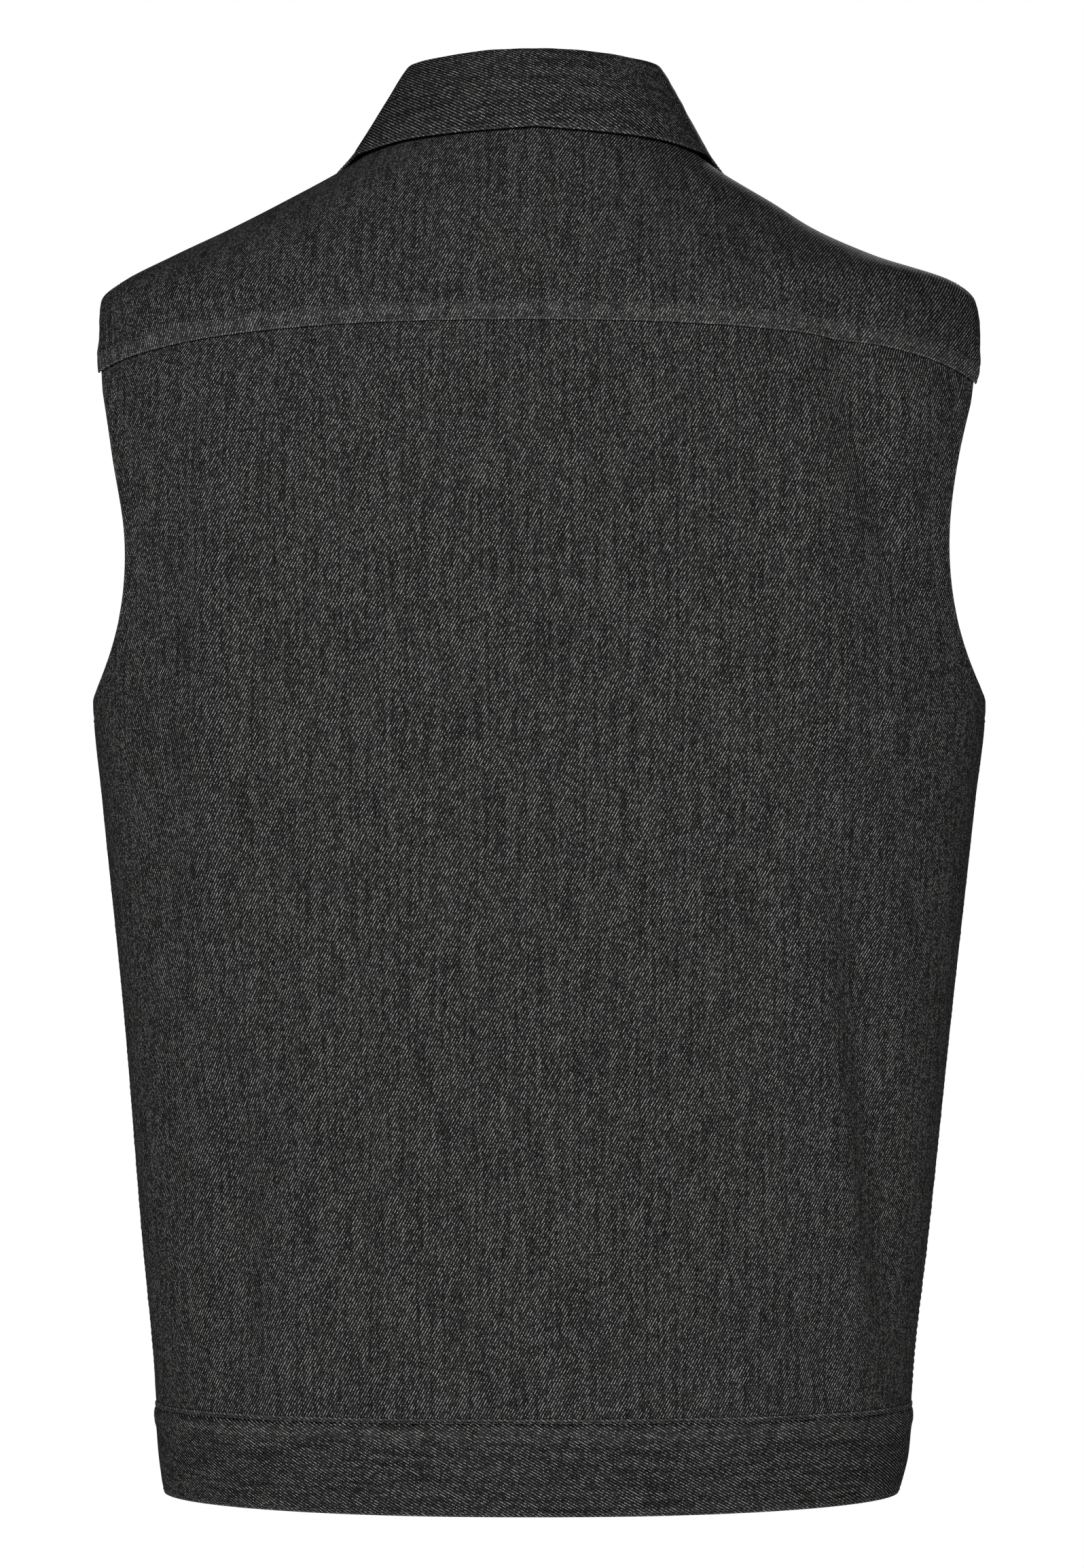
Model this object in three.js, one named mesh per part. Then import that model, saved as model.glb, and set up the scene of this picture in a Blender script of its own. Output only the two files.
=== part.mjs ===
// A sleeveless denim vest as it is worn: a hollow shell of woven cloth with a lapped back yoke,
// a fold-over collar, a buttoned front and a waistband. Millimetres, +Z up, back towards +Y,
// the wearer's left towards +X, origin midway between the two shoulder points at the neck.
import * as THREE from 'three';

// Cloth
const CLOTH = 1.3;
const HEM_CLOTH = 2.4;
const DOUBLE_CLOTH = 2;
const SEAM_GAP = 0.3;
const LAYER_GAP = 0.5;

// Heights
const UNDERARM = -270;
const SHOULDER_TIP = -76;
const WAIST_SEAM = -606;
const LOWER_EDGE = -652;
const LOWER_EDGE_SIDE_RISE = 2;
const YOKE_SEAM = { middle: -91.5, left: -113, right: -118.5 };
const YOKE_LAP = 9;
const YOKE_LIFT_SHARES = [1, 1, 0.3];

// Neck
const NECK_HALF_WIDTH = 73;
const BACK_NECK_RISE = 6;
const FRONT_NECK_DROP = 65;

// Armholes, egg-shaped in the side view
const ARMHOLE_REACH = { back: 63.5, front: 65 };
const ARMHOLE_EGG = { back: 0.28, front: 0.3 };
const ARMHOLE_BOW = 0.85;
const ARMHOLE_HEM = 10;
const HEM_STEP = 1.5;

// Buttoned front, wearer's left over right
const STAND_HALF = 15;
const PLACKET_EDGE = { right: -15, left: 25 };
const CHEST_ROW = { edgeTurn: 38, middle: -135 };

// Waistband
const BAND_OUT = 0.4;
const BAND_LAP_OUT = BAND_OUT + DOUBLE_CLOTH + LAYER_GAP;
const BAND_LAP_SHARE = 0.85;
const BAND_LAP_START = 42;
const BAND_LAP_FULL = 22;

// Collar
const COLLAR_CLOTH = 1.6;
const COLLAR_LIFT = 1.6;
const COLLAR_FOLD = 2.2;
const STAND_BOW = 0.4;
const COLLAR_END = 9;
const NECK_AXIS_Y = -14;

// Buttons
const BUTTON = { radius: 8.5, rim: 1.2, thickness: 3.2, hollow: 1.1, sides: 16 };
const BUTTON_HEIGHTS = [-86, -201, -316, -431, -546];
const BAND_BUTTON_HEIGHT = -627;

// Grid steps
const SHOULDER_STEPS = 7;
const NECK_STEPS = 6;
const BODY_ROWS = 14;
const ARMHOLE_ROWS = 9;
const SHOULDER_ROWS = 7;
const STRIP_ROWS = 26;
const STRIP_CROWDING = 1.6;
const BAND_COLUMNS = 76;
const BAND_ROWS = 3;
const COLLAR_COLUMNS = 44;
const COLLAR_STEPS = 14;
const PATH_STEPS = 160;

const DENIM = { color: 0x2f2e2e, roughness: 0.92, metalness: 0 };
const DENIM_CROSS = { color: 0x2b2a2a, roughness: 0.92, metalness: 0 };
const METAL = { color: 0x54504c, roughness: 0.42, metalness: 0.9 };

const BACK = 1;
const FRONT = -1;
const LEFT = 1;
const RIGHT = -1;

// Level rings of the worn shape: half widths to the wearer's left and right, depths behind and
// in front of the side line, and the power that squares the oval. Above the shoulder tip the
// widest point of each ring is the ridge of the shoulder.
const RINGS = table('z left right back front power', [
  [12, 56, 55, 56, 48, 2],
  [0, 73, 72, 64, 58, 2],
  [-12, 91, 86.5, 72, 68, 2.05],
  [-30, 124, 116, 82, 78, 2.1],
  [-42, 147.5, 135, 88, 84, 2.15],
  [-55, 175, 164.5, 94, 91, 2.2],
  [-68, 200, 203, 99, 97, 2.27],
  [-76, 209, 212, 102, 100, 2.3],
  [-95, 214, 218.5, 107, 106, 2.38],
  [-113, 217.5, 221, 111, 111, 2.42],
  [-153, 218, 218.5, 119, 119, 2.45],
  [-193, 215, 217, 124, 125, 2.45],
  [-232, 213.6, 216.8, 126.3, 128.2, 2.45],
  [-270, 213, 217, 126, 128, 2.45],
  [-318, 208.5, 212, 124.5, 127, 2.43],
  [-422, 198, 200.5, 119, 124, 2.38],
  [-527, 189.5, 189.5, 114, 120, 2.34],
  [-585, 184, 182.8, 112, 118, 2.32],
  [-606, 182.6, 181.3, 110.5, 116.5, 2.3],
  [-630, 181, 179.5, 109.3, 115, 2.28],
  [-652, 178, 174, 108.5, 114, 2.22],
]);

// Largest folds: soft ridges (out above 0) and troughs (out below 0) along a line seen from
// the back or the front, fading to nothing at both ends.
const FOLDS = table('face x0 z0 x1 z1 width out', [
  [BACK, 149, -96, 158, -420, 15, 2.6],
  [BACK, -128, -70, -176, -245, 15, -4],
  [BACK, -150, -104, -190, -236, 12, 2],
  [BACK, -146, -330, -172, -606, 17, -4.5],
  [BACK, -128, -330, -160, -600, 12, 2.4],
  [BACK, 142, -440, 140, -606, 18, -4],
  [BACK, 107, -350, 104, -570, 13, 1.8],
  [BACK, 62, -360, 64, -575, 15, 1.5],
  [BACK, 84, -380, 82, -604, 10, -1.8],
  [BACK, -30, -140, -22, -420, 30, -1.5],
  [FRONT, 120, -110, 176, -250, 14, -3.5],
  [FRONT, -124, -112, -178, -246, 15, -3.2],
  [FRONT, 146, -340, 150, -606, 17, -4],
  [FRONT, -140, -350, -158, -606, 16, -4.2],
  [FRONT, 100, -390, 92, -600, 13, 2],
  [FRONT, -96, -330, -100, -590, 14, 1.8],
  [FRONT, 70, -200, 74, -420, 22, -1.8],
  [FRONT, -74, -180, -70, -430, 24, -1.8],
]);
const FOLD_FADE_DEPTH = 34;

// Collar sections. at: degrees round the neck from the centre back; rise and inset: from the
// neck seam to the fold; edge and edgeZ: where the outer edge lies on the garment; clear: its
// height over the cloth there; bow: how far the fall swells between fold and edge.
const COLLAR_SECTIONS = table('at rise inset edge edgeZ clear bow', [
  [0, 34.5, 9, 0, 0.5, 5, 3],
  [45, 35.5, 10, 47, -4, 4.5, 2.4],
  [70, 36, 10.5, 71, -7.5, 3.5, 1],
  [90, 34, 12, 90, -9.5, 2.4, 0.4],
  [110, 31, 10, 119, -26, 3.5, 1.6],
  [135, 27, 8, 152, -60, 4, 4],
  [160, 22, 7, 161, -83, 4.5, 5],
  [174, 19, 6, 167, -101, 5, 5],
]);

function table(columns, rows) {
  const names = columns.split(' ');
  return rows.map((row) => Object.fromEntries(names.map((name, i) => [name, row[i]])));
}

// Smooth curve through one column of a table that never overshoots its rows.
function curveThrough(rows, across, up) {
  const sorted = [...rows].sort((a, b) => a[across] - b[across]);
  const xs = sorted.map((row) => row[across]);
  const ys = sorted.map((row) => row[up]);
  const secants = xs.slice(1).map((x, i) => (ys[i + 1] - ys[i]) / (x - xs[i]));
  const slopes = xs.map((_, i) => {
    const before = secants[Math.max(i - 1, 0)];
    const after = secants[Math.min(i, secants.length - 1)];
    return before * after <= 0 ? 0 : (2 * before * after) / (before + after);
  });
  return (x) => {
    const at = THREE.MathUtils.clamp(x, xs[0], xs[xs.length - 1]);
    let i = 0;
    while (i < xs.length - 2 && at > xs[i + 1]) i += 1;
    const span = xs[i + 1] - xs[i];
    const t = (at - xs[i]) / span;
    const bend = (1 - t) * (1 - t) * t * span * slopes[i] - t * t * (1 - t) * span * slopes[i + 1];
    return ys[i] + (ys[i + 1] - ys[i]) * t * t * (3 - 2 * t) + bend;
  };
}

const leftWidth = curveThrough(RINGS, 'z', 'left');
const rightWidth = curveThrough(RINGS, 'z', 'right');
const backDepth = curveThrough(RINGS, 'z', 'back');
const frontDepth = curveThrough(RINGS, 'z', 'front');
const ringPower = curveThrough(RINGS, 'z', 'power');

const lerp = THREE.MathUtils.lerp;
const smoothstep = THREE.MathUtils.smoothstep;
const radians = THREE.MathUtils.degToRad;
const signedPower = (value, power) => Math.sign(value) * Math.abs(value) ** power;

// Point of the base surface. turn: 0 at the wearer's left, a quarter turn at the centre back.
function ringPoint(turn, z) {
  const across = Math.cos(turn);
  const along = Math.sin(turn);
  const bow = 2 / ringPower(z);
  const x = (across >= 0 ? leftWidth(z) : rightWidth(z)) * signedPower(across, bow);
  const y = (along >= 0 ? backDepth(z) : frontDepth(z)) * signedPower(along, bow);
  return new THREE.Vector3(x, y, z);
}

function ringNormal(turn, z) {
  const turnStep = 0.012;
  const zStep = 1;
  const around = ringPoint(turn + turnStep, z).sub(ringPoint(turn - turnStep, z));
  const upward = ringPoint(turn, z + zStep).sub(ringPoint(turn, z - zStep));
  return around.cross(upward).normalize();
}

function foldHeight(point) {
  const face = Math.sign(point.y);
  let height = 0;
  for (const fold of FOLDS.filter((row) => row.face === face)) {
    const runX = fold.x1 - fold.x0;
    const runZ = fold.z1 - fold.z0;
    const length = Math.hypot(runX, runZ);
    const along = ((point.x - fold.x0) * runX + (point.z - fold.z0) * runZ) / length ** 2;
    if (along <= 0 || along >= 1) continue;
    const aside = ((point.x - fold.x0) * runZ - (point.z - fold.z0) * runX) / length;
    height += fold.out * Math.exp(-((aside / fold.width) ** 2)) * Math.sin(Math.PI * along) ** 0.7;
  }
  return height * smoothstep(Math.abs(point.y), 0, FOLD_FADE_DEPTH);
}

// Point of the cloth's outer face, moved out by the given distance.
function clothPoint(turn, z, out = 0) {
  const point = ringPoint(turn, z);
  const height = foldHeight(point);
  return point.addScaledVector(ringNormal(turn, z), height + out);
}

function turnAtDepth(depth, z, face, side) {
  const reach = face === BACK ? backDepth(z) : frontDepth(z);
  const angle = Math.asin(Math.min(1, (depth / reach) ** (ringPower(z) / 2)));
  return face * (side === LEFT ? angle : Math.PI - angle);
}

function turnAtX(x, z, face) {
  const reach = x >= 0 ? leftWidth(z) : rightWidth(z);
  const across = Math.min(1, Math.abs(x) / reach) ** (ringPower(z) / 2);
  return face * Math.acos(Math.sign(x) * across);
}

const ARMHOLE_MIDDLE = (UNDERARM + SHOULDER_TIP) / 2;
const ARMHOLE_HALF = (SHOULDER_TIP - UNDERARM) / 2;

// Armhole edge. lift: -90 degrees at the underarm, 90 degrees at the shoulder tip.
function armholeEdge(lift, face, side) {
  const key = face === BACK ? 'back' : 'front';
  const z = ARMHOLE_MIDDLE + ARMHOLE_HALF * Math.sin(lift);
  const oval = Math.max(0, Math.cos(lift)) ** ARMHOLE_BOW * (1 - ARMHOLE_EGG[key] * Math.sin(lift));
  const depth = Math.max(SEAM_GAP / 2, ARMHOLE_REACH[key] * oval);
  return { turn: turnAtDepth(depth, z, face, side), z };
}

const liftAt = (z) => Math.asin((z - ARMHOLE_MIDDLE) / ARMHOLE_HALF);

// 1 within the turned hem round an armhole, 0 on single cloth.
function hemShare(turn, z) {
  const point = ringPoint(turn, z);
  const key = point.y > 0 ? 'back' : 'front';
  const level = THREE.MathUtils.clamp((z - ARMHOLE_MIDDLE) / ARMHOLE_HALF, -1, 1);
  const reach = ARMHOLE_REACH[key] * (1 - ARMHOLE_EGG[key] * level);
  const oval = Math.hypot(point.y / reach, (z - ARMHOLE_MIDDLE) / ARMHOLE_HALF);
  const away = ((oval - 1) * Math.hypot(point.y, z - ARMHOLE_MIDDLE)) / oval;
  return 1 - smoothstep(away, ARMHOLE_HEM, ARMHOLE_HEM + HEM_STEP);
}

// Spreads grid columns along a path by its real length.
function spread(path, stopsFor) {
  const places = Array.from({ length: PATH_STEPS + 1 }, (_, i) => path(i / PATH_STEPS));
  const lengths = [0];
  for (let i = 1; i <= PATH_STEPS; i += 1) {
    const from = ringPoint(places[i - 1].turn, places[i - 1].z);
    lengths.push(lengths[i - 1] + from.distanceTo(ringPoint(places[i].turn, places[i].z)));
  }
  return stopsFor(lengths[PATH_STEPS]).map((stop) => {
    let i = 0;
    while (i < PATH_STEPS - 1 && lengths[i + 1] < stop) i += 1;
    const t = (stop - lengths[i]) / (lengths[i + 1] - lengths[i]);
    return path((i + t) / PATH_STEPS);
  });
}

const evenStops = (from, to, steps) =>
  Array.from({ length: steps }, (_, i) => lerp(from, to, (i + 1) / steps));

const shoulderStops = (length) => [
  0,
  ARMHOLE_HEM,
  ...evenStops(ARMHOLE_HEM + HEM_STEP, length, SHOULDER_STEPS),
];

const SHOULDER_SHARE = { back: 0.3, front: 0.52 };

function backStops(total) {
  const half = shoulderStops(total * SHOULDER_SHARE.back);
  const neck = evenStops(half[half.length - 1], total - half[half.length - 1], 2 * NECK_STEPS);
  return [...half, ...neck.slice(0, -1), ...half.map((stop) => total - stop).reverse()];
}

function frontStops(total) {
  const half = shoulderStops(total * SHOULDER_SHARE.front);
  return [...half, ...evenStops(half[half.length - 1], total, NECK_STEPS)];
}

const seamEdge = (z, face, side) => ({ turn: turnAtDepth(SEAM_GAP / 2, z, face, side), z });

// Body rows from the waist seam up to the underarm, closest just under the armhole hem.
const BODY_LEVELS = [
  ...[0, ...evenStops(0, 1, BODY_ROWS)].map((t) =>
    lerp(WAIST_SEAM + SEAM_GAP / 2, UNDERARM - ARMHOLE_HEM - HEM_STEP, t)),
  UNDERARM - ARMHOLE_HEM,
];

// Row across the back between two edge places, arched like the yoke seam.
function backRow(left, right, middle) {
  const path = (w) => {
    const aside = 2 * w - 1;
    const edgeZ = aside < 0 ? left.z : right.z;
    return { turn: lerp(left.turn, right.turn, w), z: lerp(middle, edgeZ, aside * aside) };
  };
  return spread(path, backStops);
}

function backPanelRows() {
  const rows = BODY_LEVELS.map((z) => backRow(seamEdge(z, BACK, LEFT), seamEdge(z, BACK, RIGHT), z));
  const lifts = { left: liftAt(YOKE_SEAM.left + YOKE_LAP), right: liftAt(YOKE_SEAM.right + YOKE_LAP) };
  for (let i = 0; i <= ARMHOLE_ROWS; i += 1) {
    const t = i / ARMHOLE_ROWS;
    const left = armholeEdge(lerp(-Math.PI / 2, lifts.left, t), BACK, LEFT);
    const right = armholeEdge(lerp(-Math.PI / 2, lifts.right, t), BACK, RIGHT);
    rows.push(backRow(left, right, lerp(UNDERARM, YOKE_SEAM.middle + YOKE_LAP, t)));
  }
  return rows;
}

function neckPlace(around) {
  const side = Math.sign(around) || 1;
  const past = Math.abs(around) - Math.PI / 2;
  if (past <= 0) {
    return { turn: Math.PI / 2 - around, z: BACK_NECK_RISE * Math.cos(around) ** 2 };
  }
  const z = -FRONT_NECK_DROP * Math.sin(past);
  return { turn: turnAtX(side * NECK_HALF_WIDTH * Math.cos(past), z, FRONT), z };
}

const neckLevel = (x) => -FRONT_NECK_DROP * Math.sqrt(1 - (x / NECK_HALF_WIDTH) ** 2);

const ridgePath = (side, face) => (w) => seamEdge(lerp(SHOULDER_TIP, 0, w), face, side);

// Rows between a lower row and the shoulder and neck edges, blended from the four borders as
// they are seen from the back or the front.
function shoulderRows(bottom, top, left, right, face) {
  const flat = ({ turn, z }) => new THREE.Vector2(ringPoint(turn, z).x, z);
  const border = (places, i, v) => {
    const straight = flat(places[0]).lerp(flat(places[SHOULDER_ROWS]), v);
    return flat(places[i]).sub(straight);
  };
  const rows = [];
  for (let i = 1; i < SHOULDER_ROWS; i += 1) {
    const v = 1 - (1 - i / SHOULDER_ROWS) ** 2;
    const leftBow = border(left, i, v);
    const rightBow = border(right, i, v);
    rows.push(bottom.map((place, j) => {
      const u = j / (bottom.length - 1);
      const spot = flat(place).lerp(flat(top[j]), v);
      spot.addScaledVector(leftBow, 1 - u).addScaledVector(rightBow, u);
      return { turn: turnAtX(spot.x, spot.y, face), z: spot.y };
    }));
  }
  rows.push(top);
  return rows;
}

function armholeTop(fromZ, face, side) {
  const start = liftAt(fromZ);
  return Array.from({ length: SHOULDER_ROWS + 1 }, (_, i) =>
    armholeEdge(lerp(start, Math.PI / 2, i / SHOULDER_ROWS), face, side));
}

function yokeRows() {
  const lapped = YOKE_LAP + HEM_STEP;
  const left = armholeTop(YOKE_SEAM.left + lapped, BACK, LEFT);
  const right = armholeTop(YOKE_SEAM.right + lapped, BACK, RIGHT);
  const bottom = backRow(left[0], right[0], YOKE_SEAM.middle + lapped);
  const seamLeft = armholeEdge(liftAt(YOKE_SEAM.left), BACK, LEFT);
  const seamRight = armholeEdge(liftAt(YOKE_SEAM.right), BACK, RIGHT);
  const seam = backRow(seamLeft, seamRight, YOKE_SEAM.middle);
  const neck = spread((w) => neckPlace(lerp(Math.PI / 2, -Math.PI / 2, w)), (total) =>
    evenStops(0, total, 2 * NECK_STEPS));
  const top = [
    ...spread(ridgePath(LEFT, BACK), shoulderStops),
    ...neck.slice(0, -1),
    ...spread(ridgePath(RIGHT, BACK), shoulderStops).reverse(),
  ];
  return [seam, bottom, ...shoulderRows(bottom, top, left, right, BACK)];
}

function frontRows(side) {
  const edgeX = side === LEFT ? STAND_HALF + SEAM_GAP : -STAND_HALF - SEAM_GAP / 2;
  const row = (edge, middle) => {
    const inner = turnAtX(edgeX, middle, FRONT);
    const path = (w) => ({ turn: lerp(edge.turn, inner, w), z: lerp(edge.z, middle, w ** 1.5) });
    return spread(path, frontStops);
  };
  const straighten = (places) => {
    const last = places[places.length - 1];
    last.turn = turnAtX(edgeX, last.z, FRONT);
    return places;
  };
  const rows = BODY_LEVELS.map((z) => straighten(row(seamEdge(z, FRONT, side), z)));
  const chest = radians(CHEST_ROW.edgeTurn);
  for (let i = 0; i <= ARMHOLE_ROWS; i += 1) {
    const t = i / ARMHOLE_ROWS;
    const edge = armholeEdge(lerp(-Math.PI / 2, chest, t), FRONT, side);
    rows.push(straighten(row(edge, lerp(UNDERARM, CHEST_ROW.middle, t))));
  }
  const bottom = rows[rows.length - 1];
  const edges = Array.from({ length: SHOULDER_ROWS + 1 }, (_, i) =>
    armholeEdge(lerp(chest, Math.PI / 2, i / SHOULDER_ROWS), FRONT, side));
  const neckEnd = neckLevel(edgeX);
  const closing = Array.from({ length: SHOULDER_ROWS + 1 }, (_, i) => {
    const z = lerp(CHEST_ROW.middle, neckEnd, 1 - (1 - i / SHOULDER_ROWS) ** 2);
    return { turn: turnAtX(edgeX, z, FRONT), z };
  });
  const neckTurn = Math.PI / 2 + Math.acos(Math.abs(edgeX) / NECK_HALF_WIDTH);
  const neck = spread((w) => neckPlace(side * lerp(Math.PI / 2, neckTurn, w)), (total) =>
    evenStops(0, total, NECK_STEPS));
  const top = [...spread(ridgePath(side, FRONT), shoulderStops), ...neck];
  return [...rows, ...shoulderRows(bottom, top, edges, closing, FRONT)];
}

// Closed solid between two grids of points with the same rows and columns.
function solidBetween(outer, inner) {
  const rows = outer.length;
  const columns = outer[0].length;
  const points = [...outer.flat(), ...inner.flat()];
  const near = (i, j) => i * columns + j;
  const far = (i, j) => rows * columns + i * columns + j;
  const faces = [];
  const quad = (a, b, c, d) => faces.push(a, b, c, a, c, d);
  for (let i = 0; i < rows - 1; i += 1) {
    for (let j = 0; j < columns - 1; j += 1) {
      quad(near(i, j), near(i, j + 1), near(i + 1, j + 1), near(i + 1, j));
      quad(far(i, j), far(i + 1, j), far(i + 1, j + 1), far(i, j + 1));
    }
    quad(near(i, 0), near(i + 1, 0), far(i + 1, 0), far(i, 0));
    quad(near(i, columns - 1), far(i, columns - 1), far(i + 1, columns - 1), near(i + 1, columns - 1));
  }
  for (let j = 0; j < columns - 1; j += 1) {
    quad(near(0, j), far(0, j), far(0, j + 1), near(0, j + 1));
    quad(near(rows - 1, j), near(rows - 1, j + 1), far(rows - 1, j + 1), far(rows - 1, j));
  }
  const geometry = new THREE.BufferGeometry();
  const flipped = signedVolume(points, faces) < 0;
  const index = flipped ? faces.map((_, k) => faces[k - (k % 3) + (2 - (k % 3))]) : faces;
  geometry.setAttribute('position', new THREE.Float32BufferAttribute(points.flatMap((p) => p.toArray()), 3));
  geometry.setIndex(index);
  geometry.computeVertexNormals();
  return geometry;
}

function signedVolume(points, faces) {
  let volume = 0;
  const cross = new THREE.Vector3();
  for (let k = 0; k < faces.length; k += 3) {
    cross.crossVectors(points[faces[k + 1]], points[faces[k + 2]]);
    volume += points[faces[k]].dot(cross) / 6;
  }
  return volume;
}

// Wall of cloth over a grid of places; out and wall may differ from place to place.
function clothWall(rows, outAt, wallAt) {
  const outer = rows.map((row, i) => row.map((place, j) => clothPoint(place.turn, place.z, outAt(place, i, j))));
  const inner = rows.map((row, i) => row.map((place, j) =>
    clothPoint(place.turn, place.z, outAt(place, i, j) - wallAt(place))));
  return solidBetween(outer, inner);
}

const hemmedWall = ({ turn, z }) => lerp(CLOTH, HEM_CLOTH, hemShare(turn, z));

// The yoke rides over the top of the back panel along its seam and eases down above it.
function yokeLift(place, row) {
  const share = YOKE_LIFT_SHARES[row] ?? 0;
  return share * (hemmedWall(place) + LAYER_GAP);
}

// Strip down the front from the neck edge to the waist seam, its rows closest at the neck.
function stripRows(fromX, toX, columns, rows = STRIP_ROWS) {
  return Array.from({ length: rows + 1 }, (_, i) => Array.from({ length: columns + 1 }, (_, j) => {
    const x = lerp(fromX, toX, j / columns);
    const t = 1 - (1 - i / rows) ** STRIP_CROWDING;
    const z = lerp(WAIST_SEAM + SEAM_GAP / 2, neckLevel(x), t);
    return { turn: turnAtX(x, z, FRONT), z };
  }));
}

function waistband() {
  const start = turnAtX(STAND_HALF, WAIST_SEAM, FRONT);
  const end = turnAtX(PLACKET_EDGE.right, WAIST_SEAM, FRONT) - 2 * Math.PI;
  const rows = [0, ...evenStops(0, 1, BAND_ROWS)].map((t) => spread((w) => {
    const turn = lerp(start, end, w);
    const lower = LOWER_EDGE + LOWER_EDGE_SIDE_RISE * Math.cos(turn) ** 2;
    return { turn, z: lerp(WAIST_SEAM - SEAM_GAP / 2, lower, t) };
  }, (total) => [0, ...evenStops(0, total, BAND_COLUMNS)]));
  const out = ({ turn, z }, row, column) => {
    const lapping = column > BAND_COLUMNS * BAND_LAP_SHARE;
    const x = ringPoint(turn, z).x;
    const lap = lapping ? 1 - smoothstep(x, BAND_LAP_FULL, BAND_LAP_START) : 0;
    return lerp(BAND_OUT, BAND_LAP_OUT, lap);
  };
  return clothWall(rows, out, () => DOUBLE_CLOTH);
}

const collarCurve = (name) => curveThrough(COLLAR_SECTIONS, 'at', name);
const collarRise = collarCurve('rise');
const collarInset = collarCurve('inset');
const collarEdge = collarCurve('edge');
const collarEdgeZ = collarCurve('edgeZ');
const collarClear = collarCurve('clear');
const collarBow = collarCurve('bow');

// One section of the collar: stand up from the neck seam, fold, and fall down to the edge.
function collarSection(around) {
  const at = Math.abs(THREE.MathUtils.radToDeg(around));
  const seat = neckPlace(around);
  const neck = clothPoint(seat.turn, seat.z, -CLOTH / 2);
  const outward = new THREE.Vector3(neck.x, neck.y - NECK_AXIS_Y, 0).normalize();
  const up = new THREE.Vector3(0, 0, 1);
  const fold = neck.clone().addScaledVector(up, collarRise(at)).addScaledVector(outward, -collarInset(at));
  const inner = fold.clone().addScaledVector(up, -COLLAR_FOLD).addScaledVector(outward, -COLLAR_FOLD);
  const outer = fold.clone().addScaledVector(up, -COLLAR_FOLD).addScaledVector(outward, COLLAR_FOLD);
  const base = neck.clone().add(inner.clone().sub(neck).setLength(COLLAR_LIFT));
  const edgeTurn = Math.PI / 2 - Math.sign(around) * radians(collarEdge(at));
  const edge = clothPoint(edgeTurn, collarEdgeZ(at), collarClear(at));
  const between = (from, to, t, bow) => from.clone().lerp(to, t).addScaledVector(outward, bow);
  return new THREE.CatmullRomCurve3([
    base,
    between(base, inner, 0.5, STAND_BOW),
    inner,
    fold,
    outer,
    between(outer, edge, 0.33, collarBow(at)),
    between(outer, edge, 0.67, collarBow(at)),
    edge,
  ]).getPoints(COLLAR_STEPS);
}

function collar() {
  const end = Math.PI / 2 + Math.acos(COLLAR_END / NECK_HALF_WIDTH);
  const places = Array.from({ length: COLLAR_COLUMNS + 1 }, (_, i) => lerp(end, -end, i / COLLAR_COLUMNS));
  const grid = places.map(collarSection);
  const last = { row: grid.length - 1, step: COLLAR_STEPS };
  const shifted = (sign) => grid.map((row, i) => row.map((point, j) => {
    const along = grid[Math.min(i + 1, last.row)][j].clone().sub(grid[Math.max(i - 1, 0)][j]);
    const down = row[Math.min(j + 1, last.step)].clone().sub(row[Math.max(j - 1, 0)]);
    const normal = along.cross(down).normalize();
    return point.clone().addScaledVector(normal, (sign * COLLAR_CLOTH) / 2);
  }));
  return solidBetween(shifted(1), shifted(-1));
}

// Round metal button with a raised rim and a dished face, its back a seam gap off the cloth.
function buttonGeometry() {
  const { radius, rim, thickness, hollow, sides } = BUTTON;
  const profile = [
    [0, 0],
    [radius - rim, 0],
    [radius, rim],
    [radius - rim * 0.4, thickness],
    [radius - rim * 1.6, thickness],
    [radius - rim * 2.4, thickness - hollow],
    [0, thickness - hollow],
  ].map(([r, h]) => new THREE.Vector2(r, h));
  return new THREE.LatheGeometry(profile, sides);
}

function button(name, z, seatOut) {
  const mesh = piece(name, buttonGeometry(), METAL);
  const turn = -Math.PI / 2;
  const normal = ringNormal(turn, z);
  mesh.position.copy(clothPoint(turn, z, seatOut + SEAM_GAP));
  mesh.quaternion.setFromUnitVectors(new THREE.Vector3(0, 1, 0), normal);
  return mesh;
}

function piece(name, geometry, finish) {
  const mesh = new THREE.Mesh(geometry, new THREE.MeshStandardMaterial(finish));
  mesh.name = name;
  return mesh;
}

const flush = () => 0;
const doubled = () => DOUBLE_CLOTH;
const PLACKET_OUT = DOUBLE_CLOTH + LAYER_GAP;

const group = new THREE.Group();
group.add(piece('back_panel', clothWall(backPanelRows(), flush, hemmedWall), DENIM));
group.add(piece('back_yoke', clothWall(yokeRows(), yokeLift, hemmedWall), DENIM));
group.add(piece('front_left', clothWall(frontRows(LEFT), flush, hemmedWall), DENIM));
group.add(piece('front_right', clothWall(frontRows(RIGHT), flush, hemmedWall), DENIM));
const standStrip = stripRows(-STAND_HALF + SEAM_GAP / 2, STAND_HALF, 2);
group.add(piece('button_stand_right', clothWall(standStrip, flush, doubled), DENIM));
const placketStrip = stripRows(PLACKET_EDGE.right, PLACKET_EDGE.left, 3);
group.add(piece('placket_left', clothWall(placketStrip, () => PLACKET_OUT, doubled), DENIM));
group.add(piece('waistband', waistband(), DENIM_CROSS));
group.add(piece('collar', collar(), DENIM_CROSS));
BUTTON_HEIGHTS.forEach((z, i) => group.add(button(`button_${i + 1}`, z, PLACKET_OUT)));
group.add(button(`button_${BUTTON_HEIGHTS.length + 1}`, BAND_BUTTON_HEIGHT, BAND_LAP_OUT));

export default group;
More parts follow.
